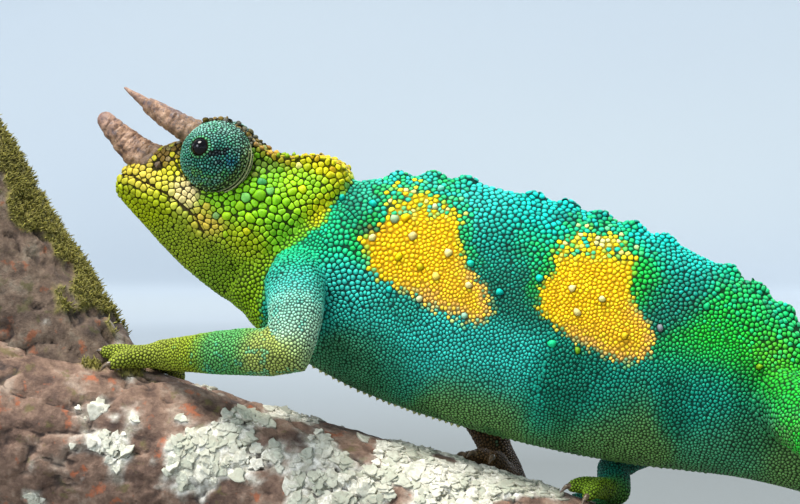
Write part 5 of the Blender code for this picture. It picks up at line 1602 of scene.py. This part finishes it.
def woodFinish():
    f = Finish("stand_wood")
    stretch = f.stretched(1.0, 9.0, 9.0)
    grain, pores = f.noise(26.0, 6.0, 0.62, stretch), f.noise(220.0, 3.0, 0.6, stretch)
    tone = f.ramp(grain, (0.3, (44, 28, 20)), (0.5, (84, 54, 36)), (0.62, (66, 42, 28)),
                  (0.75, (104, 70, 46)))
    tone = f.mix(f.span(pores, 0.56, 0.7, 0.0, 0.7), tone, light((26, 17, 13)))
    return f.shaded(tone, f.span(grain, 0.3, 0.7, 0.38, 0.5), f.bump(pores, 0.2, 0.0002))


def steelFinish():
    f = Finish("brushed_steel")
    lines = f.noise(300.0, 4.0, 0.6, f.stretched(1.0, 1.0, 22.0))
    return f.shaded(f.ramp(lines, (0.3, (150, 152, 156)), (0.7, (196, 198, 202))),
                    f.span(lines, 0.3, 0.7, 0.26, 0.42), f.bump(lines, 0.15, 0.0001), Metallic=1.0)


for nodeName, finish, slot in (("stand_base", woodFinish(), "oiled_wood"),
                               ("stand_rod_front", steelFinish(), "steel"),
                               ("stand_rod_rear", steelFinish(), "steel")):
    solid = nodes[nodeName]
    for material in solid.material_slots:
        material.material = finish

# Floor, backdrop, light and camera

sweepLook = {"floor": 2.5, "bend": 0.8, "height": 1.5, "sides": 128}


def makeSweep():
    # a pale round floor that curves up to a low wall, all in one, greyer towards the middle as painted shade
    # and faintly glowing as painted light
    floor, bend, sides = sweepLook["floor"], sweepLook["bend"], sweepLook["sides"]
    profile = [(0.02, 0.0), (0.5, 0.0), (1.4, 0.0), (floor, 0.0)]
    profile += [(floor + bend * math.sin(t), bend * (1 - math.cos(t)))
                for t in np.radians(np.linspace(9, 90, 10))]
    profile.append((floor + bend, sweepLook["height"]))
    angle = np.linspace(0, math.tau, sides, endpoint=False)
    points = [np.stack([r * np.cos(angle), r * np.sin(angle), np.full(sides, z)], 1) for r, z in profile]
    points = np.vstack(points + [(0.0, 0.0, 0.0)])
    f = Finish("studio_sweep")
    tone = f.ramp(f.noise(1.3, 1.0, 0.4), (0.36, (198, 209, 218)), (0.47, (213, 223, 230)),
                  (0.62, (219, 228, 231)))
    far = f.node("ShaderNodeVectorMath", {0: f.where}, operation="LENGTH").outputs["Value"]
    # darker grey near the middle, fading out by 2.3 m: painted shade
    tone = f.mix(f.span(far, 0.9, 2.3, 1.0, 0.0), tone, light((122, 127, 126)))
    # a faint glow in the floor's own colour: painted light
    made = f.shaded(tone, 0.95, Emission_Color=tone, Emission_Strength=0.03, Specular_IOR_Level=0.1)
    faces = [ringFaces(len(profile), sides), fanFaces(0, sides, len(points) - 1)[:, (2, 1, 0)]]
    meshPiece("sweep", points, faces, made, inMetres=True)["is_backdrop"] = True


makeSweep()
world = bpy.data.worlds.new("studio")
world.use_nodes = True
backdrop = world.node_tree.nodes["Background"].inputs
backdrop["Color"].default_value = (*light((214, 226, 244)), 1.0)
backdrop["Strength"].default_value = 0.5
bpy.context.scene.world = world

lights = {  # place, size, power, colour
    "above": ((-0.35, -0.45, 2.1), 1.1, 80.0, (255, 251, 244)),
    "front": ((-1.4, -1.8, 1.0), 1.2, 36.0, (240, 246, 255)),
    "behind": ((1.0, 1.6, 1.5), 1.2, 30.0, (236, 243, 255)),
}
for name, (spot, size, power, colour) in lights.items():
    lamp = bpy.data.lights.new(name, "AREA")
    lamp.shape, lamp.size, lamp.energy, lamp.color = "DISK", size, power, light(colour)
    holder = linked(bpy.data.objects.new(name, lamp))
    holder.location = spot
    holder.rotation_euler = (Vector(spot) - Vector((0.0, 0.0, 0.1))).to_track_quat("Z", "Y").to_euler()
    holder.visible_camera = False

view = {"target": (-0.014, 0.0, 0.107), "azimuth": math.radians(8), "elevation": math.radians(2),
        "distance": 0.650, "width": 0.120}  # width: what the picture spans at the target
camera = bpy.data.cameras.new("camera")
camera.sensor_width = 36.0
camera.lens = camera.sensor_width * view["distance"] / view["width"]
camera.clip_start, camera.clip_end = 0.01, 20.0
level = math.cos(view["elevation"])
back = Vector((math.sin(view["azimuth"]) * level, -math.cos(view["azimuth"]) * level,
               math.sin(view["elevation"])))
holder = linked(bpy.data.objects.new("camera", camera))
holder.location = Vector(view["target"]) + back * view["distance"]
holder.rotation_euler = back.to_track_quat("Z", "Y").to_euler()
bpy.context.scene.camera = holder
bpy.context.scene.view_settings.view_transform = "Standard"

triangles = sum(len(p.data.loops) - 2 * len(p.data.polygons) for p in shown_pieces())
report(f"{triangles} triangles in all")
